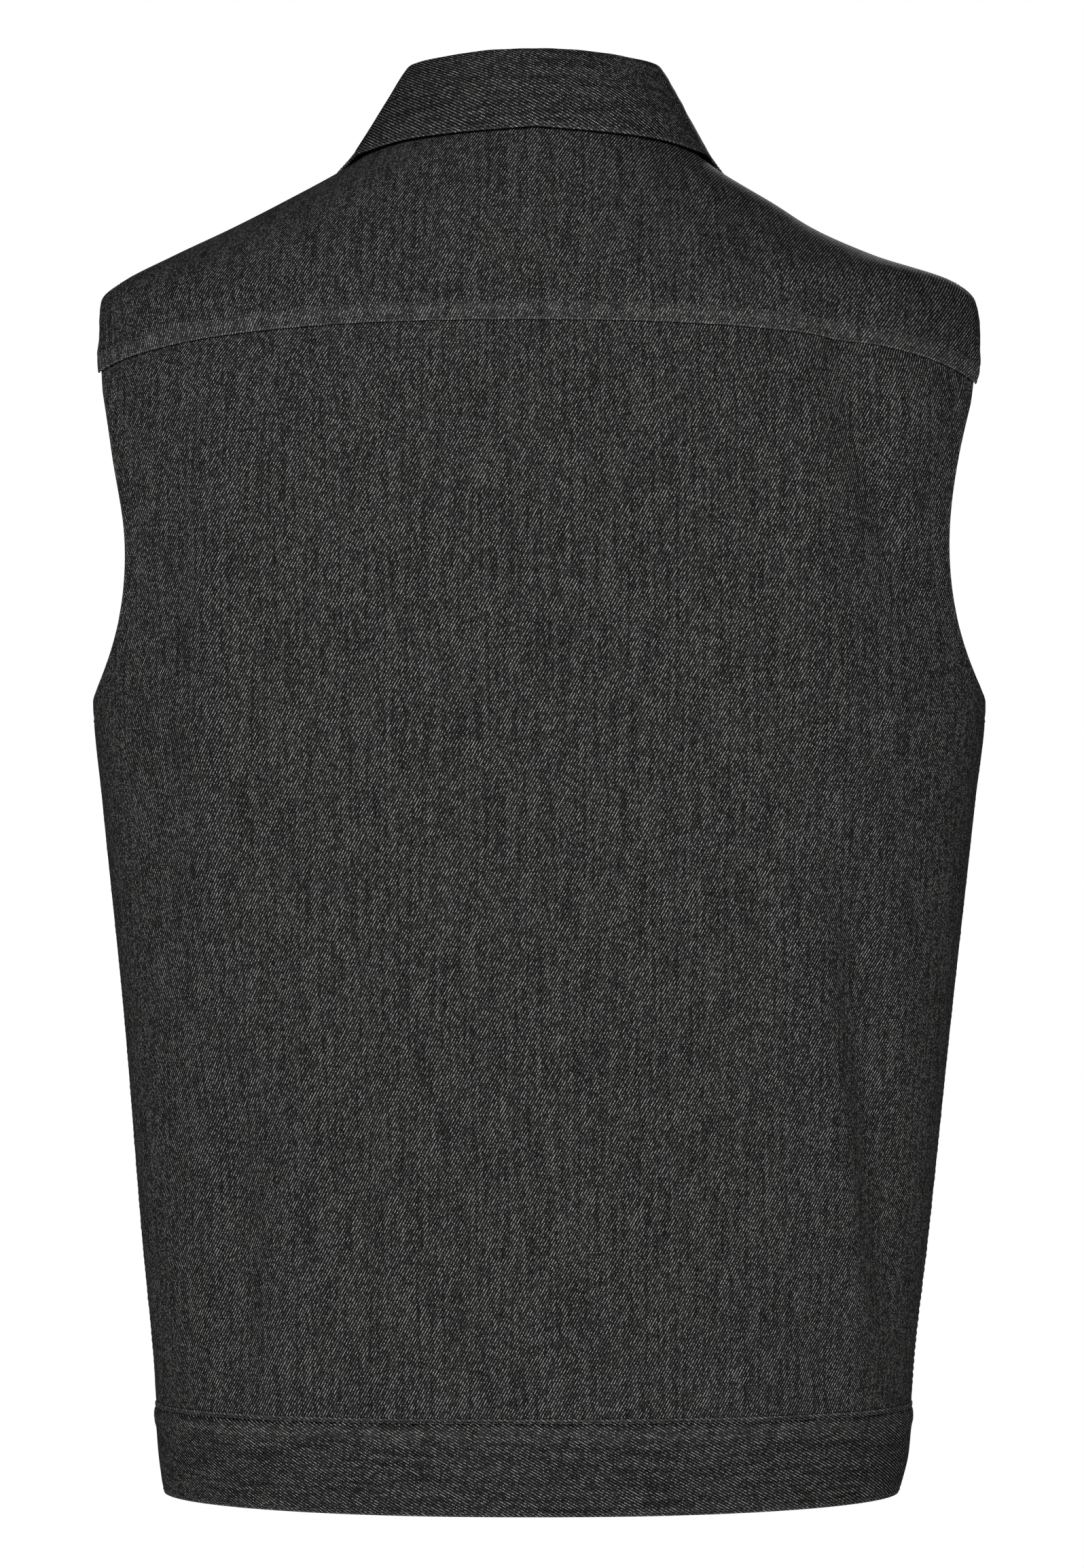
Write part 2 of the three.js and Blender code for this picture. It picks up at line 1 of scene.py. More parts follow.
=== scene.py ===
# %% [markdown]
# A sleeveless denim vest, filled out as if somebody wore it, with nobody in it, seen from behind.
# On the real one every piece is a flat cut of the same charcoal twill: a back, a yoke that laps
# over it, two fronts, two strips that close them, a waistband and a fold-over collar. Cloth like
# this could be simulated, but its main folds are few and their places are known, so each piece is
# laid here on one smooth worn form, and its folds, seams and stitches are shaped one by one.

# %% The imported model
import math
from collections import namedtuple

import bpy
import numpy as np
from mathutils import Matrix, Vector


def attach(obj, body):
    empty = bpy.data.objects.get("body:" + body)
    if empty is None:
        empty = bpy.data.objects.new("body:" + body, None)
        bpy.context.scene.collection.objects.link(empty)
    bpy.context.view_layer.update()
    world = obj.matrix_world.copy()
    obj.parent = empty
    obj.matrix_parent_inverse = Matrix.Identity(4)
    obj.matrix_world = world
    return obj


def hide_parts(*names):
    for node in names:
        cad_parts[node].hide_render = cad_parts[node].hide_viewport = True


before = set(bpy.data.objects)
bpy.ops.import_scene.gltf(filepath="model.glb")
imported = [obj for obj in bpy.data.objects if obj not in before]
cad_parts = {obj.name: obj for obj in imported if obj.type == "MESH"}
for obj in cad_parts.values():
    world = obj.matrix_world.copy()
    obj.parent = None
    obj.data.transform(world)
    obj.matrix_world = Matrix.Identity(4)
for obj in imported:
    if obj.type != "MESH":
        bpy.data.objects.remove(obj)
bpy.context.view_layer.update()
print("solids:", sorted(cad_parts))

# %% [markdown]
# The photograph was taken from straight behind, level with the middle of the vest, with a long
# lens. A camera about as far away gives the same outline, since near things don't look larger.
# The vest hangs at a wearer's height, so the floor lies well below it, outside this view.

# %% Camera
MM = 0.001
CAMERA_PLACE = Vector((-3.3, 3500, -309)) * MM
FRAME_LONG_SIDE = 36
LENS = 166.5
FAR_LIMIT = 50


def add_object(name, data):
    """A new object, put in the scene."""
    made = bpy.data.objects.new(name, data)
    bpy.context.scene.collection.objects.link(made)
    return made


camera_data = bpy.data.cameras.new("camera")
camera_data.sensor_width = FRAME_LONG_SIDE
camera_data.lens = LENS
camera_data.clip_end = FAR_LIMIT
camera = add_object("camera", camera_data)
camera.location = CAMERA_PLACE
camera.rotation_euler = (math.radians(90), 0, math.radians(180))
bpy.context.scene.camera = camera
bpy.context.scene.view_settings.view_transform = "Standard"

# %% [markdown]
# Studio light: a soft lamp above the camera shades the folds and the sides, one like it serves
# the hidden front, and a pale room does the rest. The room looks pure white to the camera,
# as the cut-out photograph does, but it lights the cloth less, so the folds keep their shade.

# %% Light and floor
ROOM_LIGHT = 0.08
VEST_MIDDLE = Vector((0, 0, -0.33))
LAMP_SIZE = 0.6
LAMPS = {"key_lamp": ((0.3, 3.1, 0.5), 57), "front_lamp": ((-0.5, -3.0, 0.75), 58)}
FLOOR_RADIUS = 3.2
FLOOR_SIDES = 128
FLOOR_HEIGHT = -1.15
FLOOR_COLOUR = (0.82, 0.82, 0.81, 1)

for name, (place, power) in LAMPS.items():
    light = bpy.data.lights.new(name, "AREA")
    light.shape = "DISK"
    light.size = LAMP_SIZE
    light.energy = power
    lamp = add_object(name, light)
    lamp.location = place
    lamp.rotation_euler = (VEST_MIDDLE - Vector(place)).to_track_quat("-Z", "Y").to_euler()

room = bpy.data.worlds.new("pale_room")
room.use_nodes = True
room_nodes = room.node_tree.nodes
backdrop = room_nodes["Background"]
backdrop.inputs["Color"].default_value = (1, 1, 1, 1)
seen = room_nodes.new("ShaderNodeLightPath")
brightness = room_nodes.new("ShaderNodeMapRange")
brightness.inputs["To Min"].default_value = ROOM_LIGHT
brightness.inputs["To Max"].default_value = 1
room.node_tree.links.new(seen.outputs["Is Camera Ray"], brightness.inputs["Value"])
room.node_tree.links.new(brightness.outputs["Result"], backdrop.inputs["Strength"])
bpy.context.scene.world = room

bpy.ops.object.select_all(action="DESELECT")
bpy.ops.mesh.primitive_circle_add(
    vertices=FLOOR_SIDES, radius=FLOOR_RADIUS, fill_type="NGON", location=(0, 0, FLOOR_HEIGHT))
floor = bpy.context.active_object
floor.name = "floor"
floor_paint = bpy.data.materials.new("pale_floor")
floor_paint.use_nodes = True
floor_inputs = floor_paint.node_tree.nodes["Principled BSDF"].inputs
floor_inputs["Base Color"].default_value = FLOOR_COLOUR
floor_inputs["Roughness"].default_value = 0.8
floor.data.materials.append(floor_paint)

# %% [markdown]
# All the cloth lies on one worn form, the same as in the solids. Level rings give its half widths
# and depths, and a power squares each oval. The sizes below are in millimetres, as a pattern
# maker writes them, and a mesh turns them into metres. A smooth curve that never overshoots runs
# through each column.

# %% Sizes
CLOTH = 1.3
HEM_CLOTH = 2.4
DOUBLE_CLOTH = 2.0
SEAM_GAP = 0.002
LAYER_GAP = 0.5
UNDERARM = -270
SHOULDER_TIP = -76
WAIST_SEAM = -606
LOWER_EDGE = -652
LOWER_EDGE_SIDE_RISE = 2
YOKE_SEAM = {"middle": -91.5, "left": -113, "right": -118.5}
YOKE_LAP = 9
NECK_HALF_WIDTH = 73
BACK_NECK_RISE = 6
FRONT_NECK_DROP = 65
ARMHOLE_REACH = {"back": 63.5, "front": 65}
ARMHOLE_EGG = {"back": 0.28, "front": 0.3}
ARMHOLE_BOW = 0.85
ARMHOLE_HEM = 10
ARMHOLE_STITCH = ARMHOLE_HEM - 0.4
HEM_STEP = 1.5
BACK, FRONT = 1, -1
LEFT, RIGHT = 1, -1
SIDES = {"left": LEFT, "right": RIGHT}


def table(columns, rows):
    """Rows of numbers as named columns."""
    return dict(zip(columns.split(), np.array(rows, float).T))


RINGS = table("z left right back front power", [
    [12, 56, 55, 56, 48, 2],
    [0, 73, 72, 64, 58, 2],
    [-12, 91, 86.5, 72, 68, 2.05],
    [-30, 124, 116, 82, 78, 2.1],
    [-42, 147.5, 135, 88, 84, 2.15],
    [-55, 175, 164.5, 94, 91, 2.2],
    [-68, 200, 203, 99, 97, 2.27],
    [-76, 209, 212, 102, 100, 2.3],
    [-95, 214, 218.5, 107, 106, 2.38],
    [-113, 217.5, 221, 111, 111, 2.42],
    [-153, 218, 218.5, 119, 119, 2.45],
    [-193, 215, 217, 124, 125, 2.45],
    [-232, 213.6, 216.8, 126.3, 128.2, 2.45],
    [-270, 213, 217, 126, 128, 2.45],
    [-318, 208.5, 212, 124.5, 127, 2.43],
    [-422, 198, 200.5, 119, 124, 2.38],
    [-527, 189.5, 189.5, 114, 120, 2.34],
    [-585, 184, 182.8, 112, 118, 2.32],
    [-606, 182.6, 181.3, 110.5, 116.5, 2.3],
    [-630, 181, 179.5, 109.3, 115, 2.28],
    [-652, 178, 174, 108.5, 114, 2.22],
])


def curve_through(rows, across, up):
    """Smooth curve through one column of a table that never overshoots its rows."""
    order = np.argsort(rows[across])
    xs, ys = rows[across][order], rows[up][order]
    secants = np.diff(ys) / np.diff(xs)
    before, after = np.append(secants[:1], secants), np.append(secants, secants[-1:])
    together = np.where(before * after > 0, before + after, 1)
    slopes = np.where(before * after > 0, 2 * before * after / together, 0)

    def curve(x):
        at = np.clip(x, xs[0], xs[-1])
        i = np.clip(np.searchsorted(xs, at) - 1, 0, len(xs) - 2)
        span = xs[i + 1] - xs[i]
        t = (at - xs[i]) / span
        bend = (1 - t) ** 2 * t * span * slopes[i] - t * t * (1 - t) * span * slopes[i + 1]
        return ys[i] + (ys[i + 1] - ys[i]) * t * t * (3 - 2 * t) + bend

    return curve


left_width, right_width, back_depth, front_depth, ring_power = (
    curve_through(RINGS, "z", name) for name in ("left", "right", "back", "front", "power"))


def lerp(start, end, t):
    return start + (end - start) * t


def smoothstep(x, start, end):
    t = np.clip((x - start) / (end - start), 0, 1)
    return t * t * (3 - 2 * t)


def signed_power(value, power):
    return np.sign(value) * np.abs(value) ** power


def ring_point(turn, z):
    """Point of the worn form. A turn of 0 is at the wearer's left, a quarter turn at the back."""
    turn, z = np.broadcast_arrays(np.asarray(turn, float), np.asarray(z, float))
    across, along = np.cos(turn), np.sin(turn)
    bow = 2 / ring_power(z)
    x = np.where(across >= 0, left_width(z), right_width(z)) * signed_power(across, bow)
    y = np.where(along >= 0, back_depth(z), front_depth(z)) * signed_power(along, bow)
    return np.stack([x, y, z], -1)


def unit(vectors):
    return vectors / np.linalg.norm(vectors, axis=-1, keepdims=True)


def ring_normal(turn, z):
    turn_step, z_step = 0.012, 1
    around = ring_point(turn + turn_step, z) - ring_point(turn - turn_step, z)
    upward = ring_point(turn, z + z_step) - ring_point(turn, z - z_step)
    return unit(np.cross(around, upward))


# %% [markdown]
# Folds come next. Each is a soft ridge or trough along a line seen from the back or the front,
# with its own width and height, fading at both ends. The first rows of each face are the large
# ones, which the solids have too, but wider and not so deep. The rest are the small creases
# that only a look from near shows.

# %% Folds
FOLDS = table("face x0 z0 x1 z1 width out", [
    [BACK, 149, -96, 158, -420, 12, 2.6],
    [BACK, -138, -72, -180, -245, 11, -4],
    [BACK, -122, -104, -149, -330, 12, 2],
    [BACK, -148, -330, -174, -606, 13, -4.5],
    [BACK, -128, -330, -158, -600, 10, 2.4],
    [BACK, 144, -440, 140, -606, 14, -4],
    [BACK, 107, -350, 104, -570, 10, 1.9],
    [BACK, 62, -360, 64, -575, 11, 1.7],
    [BACK, 84, -380, 82, -604, 9, -1.8],
    [BACK, -30, -140, -22, -420, 30, -1.5],
    [FRONT, 120, -110, 176, -250, 14, -3.5],
    [FRONT, -124, -112, -178, -246, 15, -3.2],
    [FRONT, 146, -340, 150, -606, 17, -4],
    [FRONT, -140, -350, -158, -606, 16, -4.2],
    [FRONT, 100, -390, 92, -600, 13, 2],
    [FRONT, -96, -330, -100, -590, 14, 1.8],
    [FRONT, 70, -200, 74, -420, 22, -1.8],
    [FRONT, -74, -180, -70, -430, 24, -1.8],
    [BACK, 44, -16, 42, -74, 5, 1.1],
    [BACK, 52, -18, 51, -66, 4, -0.8],
    [BACK, 20, -14, 54, -26, 4, -1.0],
    [BACK, 2, -52, -68, -38, 4.5, -1.2],
    [BACK, -6, -45, -62, -31, 5, 0.9],
    [BACK, -14, -38, -56, -31, 4, -0.8],
    [BACK, -76, -14, -90, -50, 5, 1.0],
    [BACK, -68, -14, -80, -48, 4, -0.9],
    [BACK, 70, -540, 58, -604, 6, -0.9],
    [BACK, -124, -560, -142, -604, 8, -1.6],
    [BACK, 120, -520, 124, -600, 9, 1.0],
    [BACK, 10, -500, 6, -600, 12, 0.7],
    [BACK, -60, -480, -56, -600, 12, 0.8],
    [BACK, -92, -300, -98, -520, 12, -0.7],
    [BACK, 30, -250, 36, -470, 13, 0.7],
    [BACK, -178, -262, -150, -300, 9, 1.2],
    [BACK, 182, -255, 150, -300, 9, 1.2],
    [FRONT, 44, -500, 40, -600, 12, 0.8],
    [FRONT, -48, -480, -44, -600, 12, 0.9],
    [FRONT, 120, -520, 124, -602, 9, 1.0],
    [FRONT, -118, -530, -126, -602, 9, -1.2],
    [FRONT, 96, -80, 60, -120, 9, -0.9],
    [FRONT, -98, -78, -64, -126, 9, -1.0],
    [FRONT, 182, -255, 146, -300, 9, 1.3],
    [FRONT, -180, -258, -148, -306, 9, 1.3],
])
FOLD_FADE_DEPTH = 34
FOLD_STRENGTH = 1.5


def relief(points):
    """How far the folds move the cloth in or out at each point."""
    x, y, z = np.moveaxis(points, -1, 0)
    height = np.zeros_like(x)
    for face, x0, z0, x1, z1, width, out in zip(*FOLDS.values()):
        run_x, run_z = x1 - x0, z1 - z0
        length = math.hypot(run_x, run_z)
        along = np.clip(((x - x0) * run_x + (z - z0) * run_z) / length**2, 0, 1)
        aside = ((x - x0) * run_z - (z - z0) * run_x) / length
        shape = FOLD_STRENGTH * out * np.exp(-((aside / width) ** 2)) * np.sin(np.pi * along) ** 0.7
        height += np.where(np.sign(y) == face, shape, 0)
    return height * smoothstep(np.abs(y), 0, FOLD_FADE_DEPTH)


def cloth_point(turn, z, out=0.0):
    """Point of the cloth's outer face, moved out by the given distance."""
    base = ring_point(turn, z)
    return base + ring_normal(turn, z) * np.asarray(relief(base) + out)[..., None]


# %% [markdown]
# Places on the form are pairs of a turn and a height. The armhole is an egg in the side view,
# the neck an oval, and each cloth piece fills a stretch between such edges with rows of places.
# Rows are finest beside edges and seams, where the real cloth bends most.

# %% Edges of the pieces
ARMHOLE_MIDDLE = (UNDERARM + SHOULDER_TIP) / 2
ARMHOLE_HALF = (SHOULDER_TIP - UNDERARM) / 2
FACE_NAMES = {BACK: "back", FRONT: "front"}
QUARTER = math.pi / 2
RADIUS_SAMPLES = 181
LINE_SAMPLES = 221


def turn_at_depth(depth, z, face, side):
    reach = back_depth(z) if face == BACK else front_depth(z)
    angle = np.arcsin(np.minimum(1, (depth / reach) ** (ring_power(z) / 2)))
    return face * (angle if side == LEFT else math.pi - angle)


def turn_at_x(x, z, face):
    reach = np.where(np.asarray(x) >= 0, left_width(z), right_width(z))
    across = np.minimum(1, np.abs(x) / reach) ** (ring_power(z) / 2)
    return face * np.arccos(np.sign(x) * across)


def armhole_edge(lift, face, side):
    """Edge place at a lift of -90 degrees at the underarm to 90 degrees at the shoulder tip."""
    key = FACE_NAMES[face]
    z = ARMHOLE_MIDDLE + ARMHOLE_HALF * np.sin(lift)
    oval = np.maximum(0, np.cos(lift)) ** ARMHOLE_BOW * (1 - ARMHOLE_EGG[key] * np.sin(lift))
    depth = np.maximum(SEAM_GAP / 2, ARMHOLE_REACH[key] * oval)
    return turn_at_depth(depth, z, face, side), z


def lift_at(z):
    return math.asin((z - ARMHOLE_MIDDLE) / ARMHOLE_HALF)


def seam_edge(z, face, side):
    return turn_at_depth(SEAM_GAP / 2, z, face, side), z


def armhole_radius(angle, face):
    """Distance from the armhole's middle to its edge, in the side view."""
    lift = np.linspace(-QUARTER, QUARTER, RADIUS_SAMPLES)
    turn, z = armhole_edge(lift, face, LEFT)
    depth = np.abs(ring_point(turn, z)[..., 1])
    bearing = np.arctan2(z - ARMHOLE_MIDDLE, depth)
    return np.interp(angle, bearing, np.hypot(depth, z - ARMHOLE_MIDDLE))


def from_armhole(points):
    """Distance of each point from the armhole's edge, in the side view."""
    depth, rise = np.abs(points[..., 1]), points[..., 2] - ARMHOLE_MIDDLE
    angle = np.arctan2(rise, depth)
    radius = np.where(points[..., 1] > 0, armhole_radius(angle, BACK), armhole_radius(angle, FRONT))
    return np.hypot(depth, rise) - radius


def armhole_line(distance, face, side):
    """Places along a line that keeps the given distance from the armhole's edge."""
    angle = np.linspace(-QUARTER, QUARTER, LINE_SAMPLES)
    radius = armhole_radius(angle, face) + distance
    depth = np.maximum(SEAM_GAP / 2, radius * np.cos(angle))
    z = ARMHOLE_MIDDLE + radius * np.sin(angle)
    return turn_at_depth(depth, z, face, side), z


# %% Rows of places
EDGE_STOPS = np.array([0, 0.25, 0.7, 1.4, 2.4, 4, 6, 8, 9.2, 10, 10.8, 12, 14.5])
PATH_STEPS = 240
SHOULDER_SHARE = {"back": 0.3, "front": 0.52}
SHOULDER_COLUMNS = 38
SHOULDER_ROWS = 46
NECK_COLUMNS = {"back": 44, "front": 34}


def stops(length, count, start=(0,), end=(0,)):
    """Distances along a row: set ones beside each end, and even steps between them."""
    inner = np.linspace(start[-1], length - end[-1], count + 1)
    return np.concatenate([start[:-1], inner, length - np.array(end)[::-1][1:]])


def spread(path, stops_for):
    """Puts places along a path by their real distance."""
    w = np.linspace(0, 1, PATH_STEPS + 1)
    steps = np.linalg.norm(np.diff(ring_point(*path(w)), axis=0), axis=1)
    lengths = np.append(0, np.cumsum(steps))
    return path(np.interp(stops_for(lengths[-1]), lengths, w))


def shoulder_stops(length):
    return stops(length, SHOULDER_COLUMNS, EDGE_STOPS)


def back_stops(total):
    half = shoulder_stops(total * SHOULDER_SHARE["back"])
    neck = np.linspace(half[-1], total - half[-1], NECK_COLUMNS["back"] + 1)
    return np.concatenate([half, neck[1:-1], total - half[::-1]])


def front_stops(total):
    half = shoulder_stops(total * SHOULDER_SHARE["front"])
    closing = np.linspace(half[-1], total, NECK_COLUMNS["front"] + 1)
    return np.concatenate([half, closing[1:]])


def back_row(left, right, middle):
    """Row across the back between two edge places, arched like the yoke seam."""
    def path(w):
        aside = 2 * w - 1
        edge_z = np.where(aside < 0, left[1], right[1])
        return lerp(left[0], right[0], w), lerp(middle, edge_z, aside * aside)
    return spread(path, back_stops)


def neck_place(around):
    """Place on the neck edge; around is 0 at the centre back, positive to the wearer's left."""
    around = np.asarray(around, float)
    past = np.maximum(0, np.abs(around) - QUARTER)
    front_z = -FRONT_NECK_DROP * np.sin(past)
    front_turn = turn_at_x(np.where(around >= 0, 1, -1) * NECK_HALF_WIDTH * np.cos(past), front_z, FRONT)
    back = np.abs(around) <= QUARTER
    turn = np.where(back, QUARTER - around, front_turn)
    return turn, np.where(back, BACK_NECK_RISE * np.cos(around) ** 2, front_z)


def neck_level(x):
    return -FRONT_NECK_DROP * np.sqrt(1 - (x / NECK_HALF_WIDTH) ** 2)


def ridge_path(side, face):
    return lambda w: seam_edge(lerp(SHOULDER_TIP, 0, w), face, side)


def shoulder_rows(bottom, top, left_at, right_at, face):
    """Rows up to the shoulder and neck edges, blended from the four borders."""
    def flat(place):
        return np.stack([ring_point(*place)[..., 0], np.asarray(place[1], float)], -1)
    low, high = flat(bottom), flat(top)
    u = np.linspace(0, 1, low.shape[0])[:, None]
    rows = []
    for i in range(1, SHOULDER_ROWS):
        share = i / SHOULDER_ROWS
        v = 1 - (1 - share) ** 2
        left_bow = flat(left_at(share)) - lerp(flat(left_at(0)), flat(left_at(1)), v)
        right_bow = flat(right_at(share)) - lerp(flat(right_at(0)), flat(right_at(1)), v)
        spot = lerp(low, high, v) + left_bow * (1 - u) + right_bow * u
        rows.append((turn_at_x(spot[:, 0], spot[:, 1], face), spot[:, 1]))
    return [*rows, top]


def as_grid(rows):
    turn = np.array([row[0] for row in rows])
    z = np.array([np.broadcast_to(row[1], turn[0].shape) for row in rows])
    return turn, z


# %% [markdown]
# A flat cut becomes a worn piece in four steps. The middle of the cloth is laid on the form. Its
# wall is built half to each side of it, thinner towards the edges, which rounds them like a
# folded edge. The outer face is flattened the way a tailor would lay it on a table, which gives
# both its flat size and the cloth's own coordinates in millimetres for the weave. The back of the
# wall gets its own material, since the reverse of this twill is paler.

# %% Cloth walls
ROUND_EDGE = 1.5
EDGE_SHARE = 0.3


def lengths_along(points, axis):
    """Distance from the first to each following point of a grid, along rows or columns."""
    steps = np.linalg.norm(np.diff(points, axis=axis), axis=-1)
    start = np.zeros_like(np.take(steps, [0], axis=axis))
    return np.concatenate([start, np.cumsum(steps, axis=axis)], axis=axis)


class Spans:
    """Distances of each grid point from the grid's four borders."""

    def __init__(self, points):
        across, upward = lengths_along(points, 1), lengths_along(points, 0)
        self.start, self.end = across, across[:, -1:] - across
        self.bottom, self.top = upward, upward[-1:] - upward

    def nearest(self):
        return np.minimum.reduce([self.start, self.end, self.bottom, self.top])


def rounded(distance):
    """Share of the wall's thickness at a distance from its edge."""
    t = np.clip(distance / ROUND_EDGE, 0, 1)
    return lerp(EDGE_SHARE, 1, np.sqrt(1 - (1 - t) ** 2))


def grid_faces(rows, columns, start, flip):
    index = start + np.arange(rows * columns).reshape(rows, columns)
    corners = [index[:-1, :-1], index[:-1, 1:], index[1:, 1:], index[1:, :-1]]
    if flip:
        corners.reverse()
    return np.stack(corners, -1).reshape(-1, 4)


def rim_faces(rows, columns, flip):
    index = np.arange(rows * columns).reshape(rows, columns)
    border = np.concatenate([index[0, :-1], index[:-1, -1], index[-1, :0:-1], index[:0:-1, 0]])
    following = np.roll(border, -1)
    far = rows * columns
    corners = [following, border, border + far, following + far]
    if flip:
        corners.reverse()
    return np.stack(corners, -1)


def cell_sides(grid):
    """The sides of each cell of a grid that leave its first corner."""
    corner = grid[:-1, :-1]
    return grid[:-1, 1:] - corner, grid[1:, :-1] - corner


def points_out(outer, inner):
    """Whether the grid's own winding faces from the inner to the outer face."""
    return np.sum(np.cross(*cell_sides(outer)) * (outer - inner)[:-1, :-1]) > 0


def new_object(name, points, faces):
    mesh = bpy.data.meshes.new(name)
    mesh.from_pydata((np.asarray(points) * MM).tolist(), [], [tuple(map(int, face)) for face in faces])
    mesh.polygons.foreach_set("use_smooth", np.ones(len(faces), bool))
    return add_object(name, mesh)


def corner_points(mesh):
    """Index of the point at each corner of each face."""
    corners = np.empty(len(mesh.loops), int)
    mesh.loops.foreach_get("vertex_index", corners)
    return corners


def flatten(outer, grain, mirrored):
    """The flat cut of a grid of points, in millimetres, with its grain line upright."""
    rows, columns = outer.shape[:2]
    cut = new_object("cut", outer.reshape(-1, 3), grid_faces(rows, columns, 0, False))
    bpy.ops.object.select_all(action="DESELECT")
    cut.select_set(True)
    bpy.context.view_layer.objects.active = cut
    bpy.ops.object.mode_set(mode="EDIT")
    bpy.ops.mesh.select_all(action="SELECT")
    bpy.ops.uv.unwrap(method="ANGLE_BASED", margin=0)
    bpy.ops.object.mode_set(mode="OBJECT")
    corners = corner_points(cut.data)
    values = np.empty(2 * len(corners))
    cut.data.uv_layers.active.data.foreach_get("uv", values)
    flat = np.empty((rows * columns, 2))
    flat[corners] = values.reshape(-1, 2)
    bpy.data.meshes.remove(cut.data)
    flat = flat.reshape(rows, columns, 2)
    if (signed_area(flat) < 0) != mirrored:
        flat[..., 0] *= -1
    return aligned(flat, outer, grain)


def signed_area(flat):
    across, upward = cell_sides(flat)
    return np.sum(across[..., 0] * upward[..., 1] - across[..., 1] * upward[..., 0])


def worn_area(outer):
    return np.sum(np.linalg.norm(np.cross(*cell_sides(outer)), axis=-1))


def aligned(flat, outer, grain):
    """Scales a flattened grid to real size and turns it upright over the weighted grain points."""
    flat = flat * math.sqrt(worn_area(outer) / abs(signed_area(flat)))
    target, weight = grain
    weight = weight / weight.sum()
    here = flat - np.sum(flat * weight[..., None], axis=(0, 1))
    there = target - np.sum(target * weight[..., None], axis=(0, 1))
    cosine = np.sum(weight * (here * there).sum(-1))
    sine = np.sum(weight * (here[..., 0] * there[..., 1] - here[..., 1] * there[..., 0]))
    turned = math.atan2(sine, cosine)
    c, s = math.cos(turned), math.sin(turned)
    return here @ np.array([[c, s], [-s, c]])


cuts = {}


def cloth_piece(name, outer, inner, flat, wear_and_shade):
    """Closed wall between two grids, with the flat cut as its UV map, and as a value how worn each point
    is, with some painted shade.
    """
    rows, columns = outer.shape[:2]
    count = rows * columns
    outward = points_out(outer, inner)
    faces = np.concatenate([
        grid_faces(rows, columns, 0, not outward),
        rim_faces(rows, columns, not outward),
        grid_faces(rows, columns, count, outward),
    ])
    piece = new_object(name, np.concatenate([outer.reshape(-1, 3), inner.reshape(-1, 3)]), faces)
    mesh = piece.data
    both = np.concatenate([flat.reshape(-1, 2)] * 2)
    mesh.uv_layers.new(name="cloth")
    mesh.uv_layers["cloth"].data.foreach_set("uv", both[corner_points(mesh)].ravel())
    worn = mesh.attributes.new("wear_and_shade", "FLOAT", "POINT")
    worn.data.foreach_set("value", np.concatenate([wear_and_shade.ravel(), np.zeros(count)]))
    slots = np.zeros(len(faces), int)
    slots[-(rows - 1) * (columns - 1):] = 1
    mesh.polygons.foreach_set("material_index", slots)
    span = flat.reshape(-1, 2).max(0) - flat.reshape(-1, 2).min(0)
    cuts[name] = {"flat": tuple(span * MM), "area": abs(signed_area(flat)) * MM * MM}
    print(f"{name}: cut {span[0]:.0f} x {span[1]:.0f} mm, {len(faces)} faces")
    return piece


# %% [markdown]
# Sewing pulls cloth into small uneven puckers beside a seam, and presses a groove where the
# stitches lie. Both are shaped in the outer face, from each point's distance to the seam, so that
# they catch the light from every side. A fixed seed makes each run give the same puckers.

# %% Puckers and grooves
PUCKER_WAVES = (7.5, 11.0, 16.5)
PUCKER_DRIFT = (1.3, 6.3)
GROOVE_WIDTH = 0.9
PUCKERS = {
    "side": (3, 5, 0.22),
    "armhole": (5, 4, 0.25),
    "waist": (4, 9, 0.35),
    "yoke": (5.25, 3.2, 0.6),
    "above yoke rows": (12, 4, 0.2),
    "shoulder": (4, 5, 0.2),
    "strip": (4, 4, 0.16),
    "band": (7, 5, 0.6),
    "edge": (4, 4, 0.2),
}


def ripple(distance, seed):
    """Uneven waves along a seam, between about -1 and 1."""
    phases = np.random.default_rng(seed).uniform(0, 2 * np.pi, (len(PUCKER_WAVES), 2))
    total = np.zeros_like(distance)
    drift, drift_length = PUCKER_DRIFT
    for wave, (phase, start) in zip(PUCKER_WAVES, phases):
        slow = drift * np.sin(2 * np.pi * distance / (wave * drift_length) + start)
        total += np.sin(2 * np.pi * distance / wave + phase + slow)
    return total / len(PUCKER_WAVES)


def bump_at(distance, centre, width):
    return np.exp(-(((distance - centre) / width) ** 2))


def groove(distance, centre, depth):
    return -depth * bump_at(distance, centre, GROOVE_WIDTH)


def puckers(along, away, kind, seed):
    """Ripples beside a seam. A kind has the middle, half width and height of its strip."""
    centre, width, height = PUCKERS[kind]
    return height * bump_at(away, centre, width) * ripple(along, seed)


def rubbed_edge(distance, reach, strength=1.0):
    """Wear that fades with the distance from an edge."""
    return strength * np.clip(1 - distance / reach, 0, 1)


# %% Laying a piece on the form
GRAIN_WIDTH = 60
NO_WEIGHT = 1e-9


def hem_wall(points):
    """Thickness of single cloth that is turned in to a hem round the armhole."""
    share = 1 - smoothstep(from_armhole(points), ARMHOLE_HEM, ARMHOLE_HEM + HEM_STEP)
    return lerp(CLOTH, HEM_CLOTH, share)


def grain_of(points, face, centre_x=0.0, cross=False):
    """Where the cut should lie on the table, and how much each point counts."""
    u, v = -face * points[..., 0], points[..., 2]
    weight = np.exp(-(((points[..., 0] - centre_x) / GRAIN_WIDTH) ** 2)) + NO_WEIGHT
    target = np.stack([-v, u], -1) if cross else np.stack([u, v], -1)
    return target, weight


Laid = namedtuple("Laid", "piece outer normal spans")


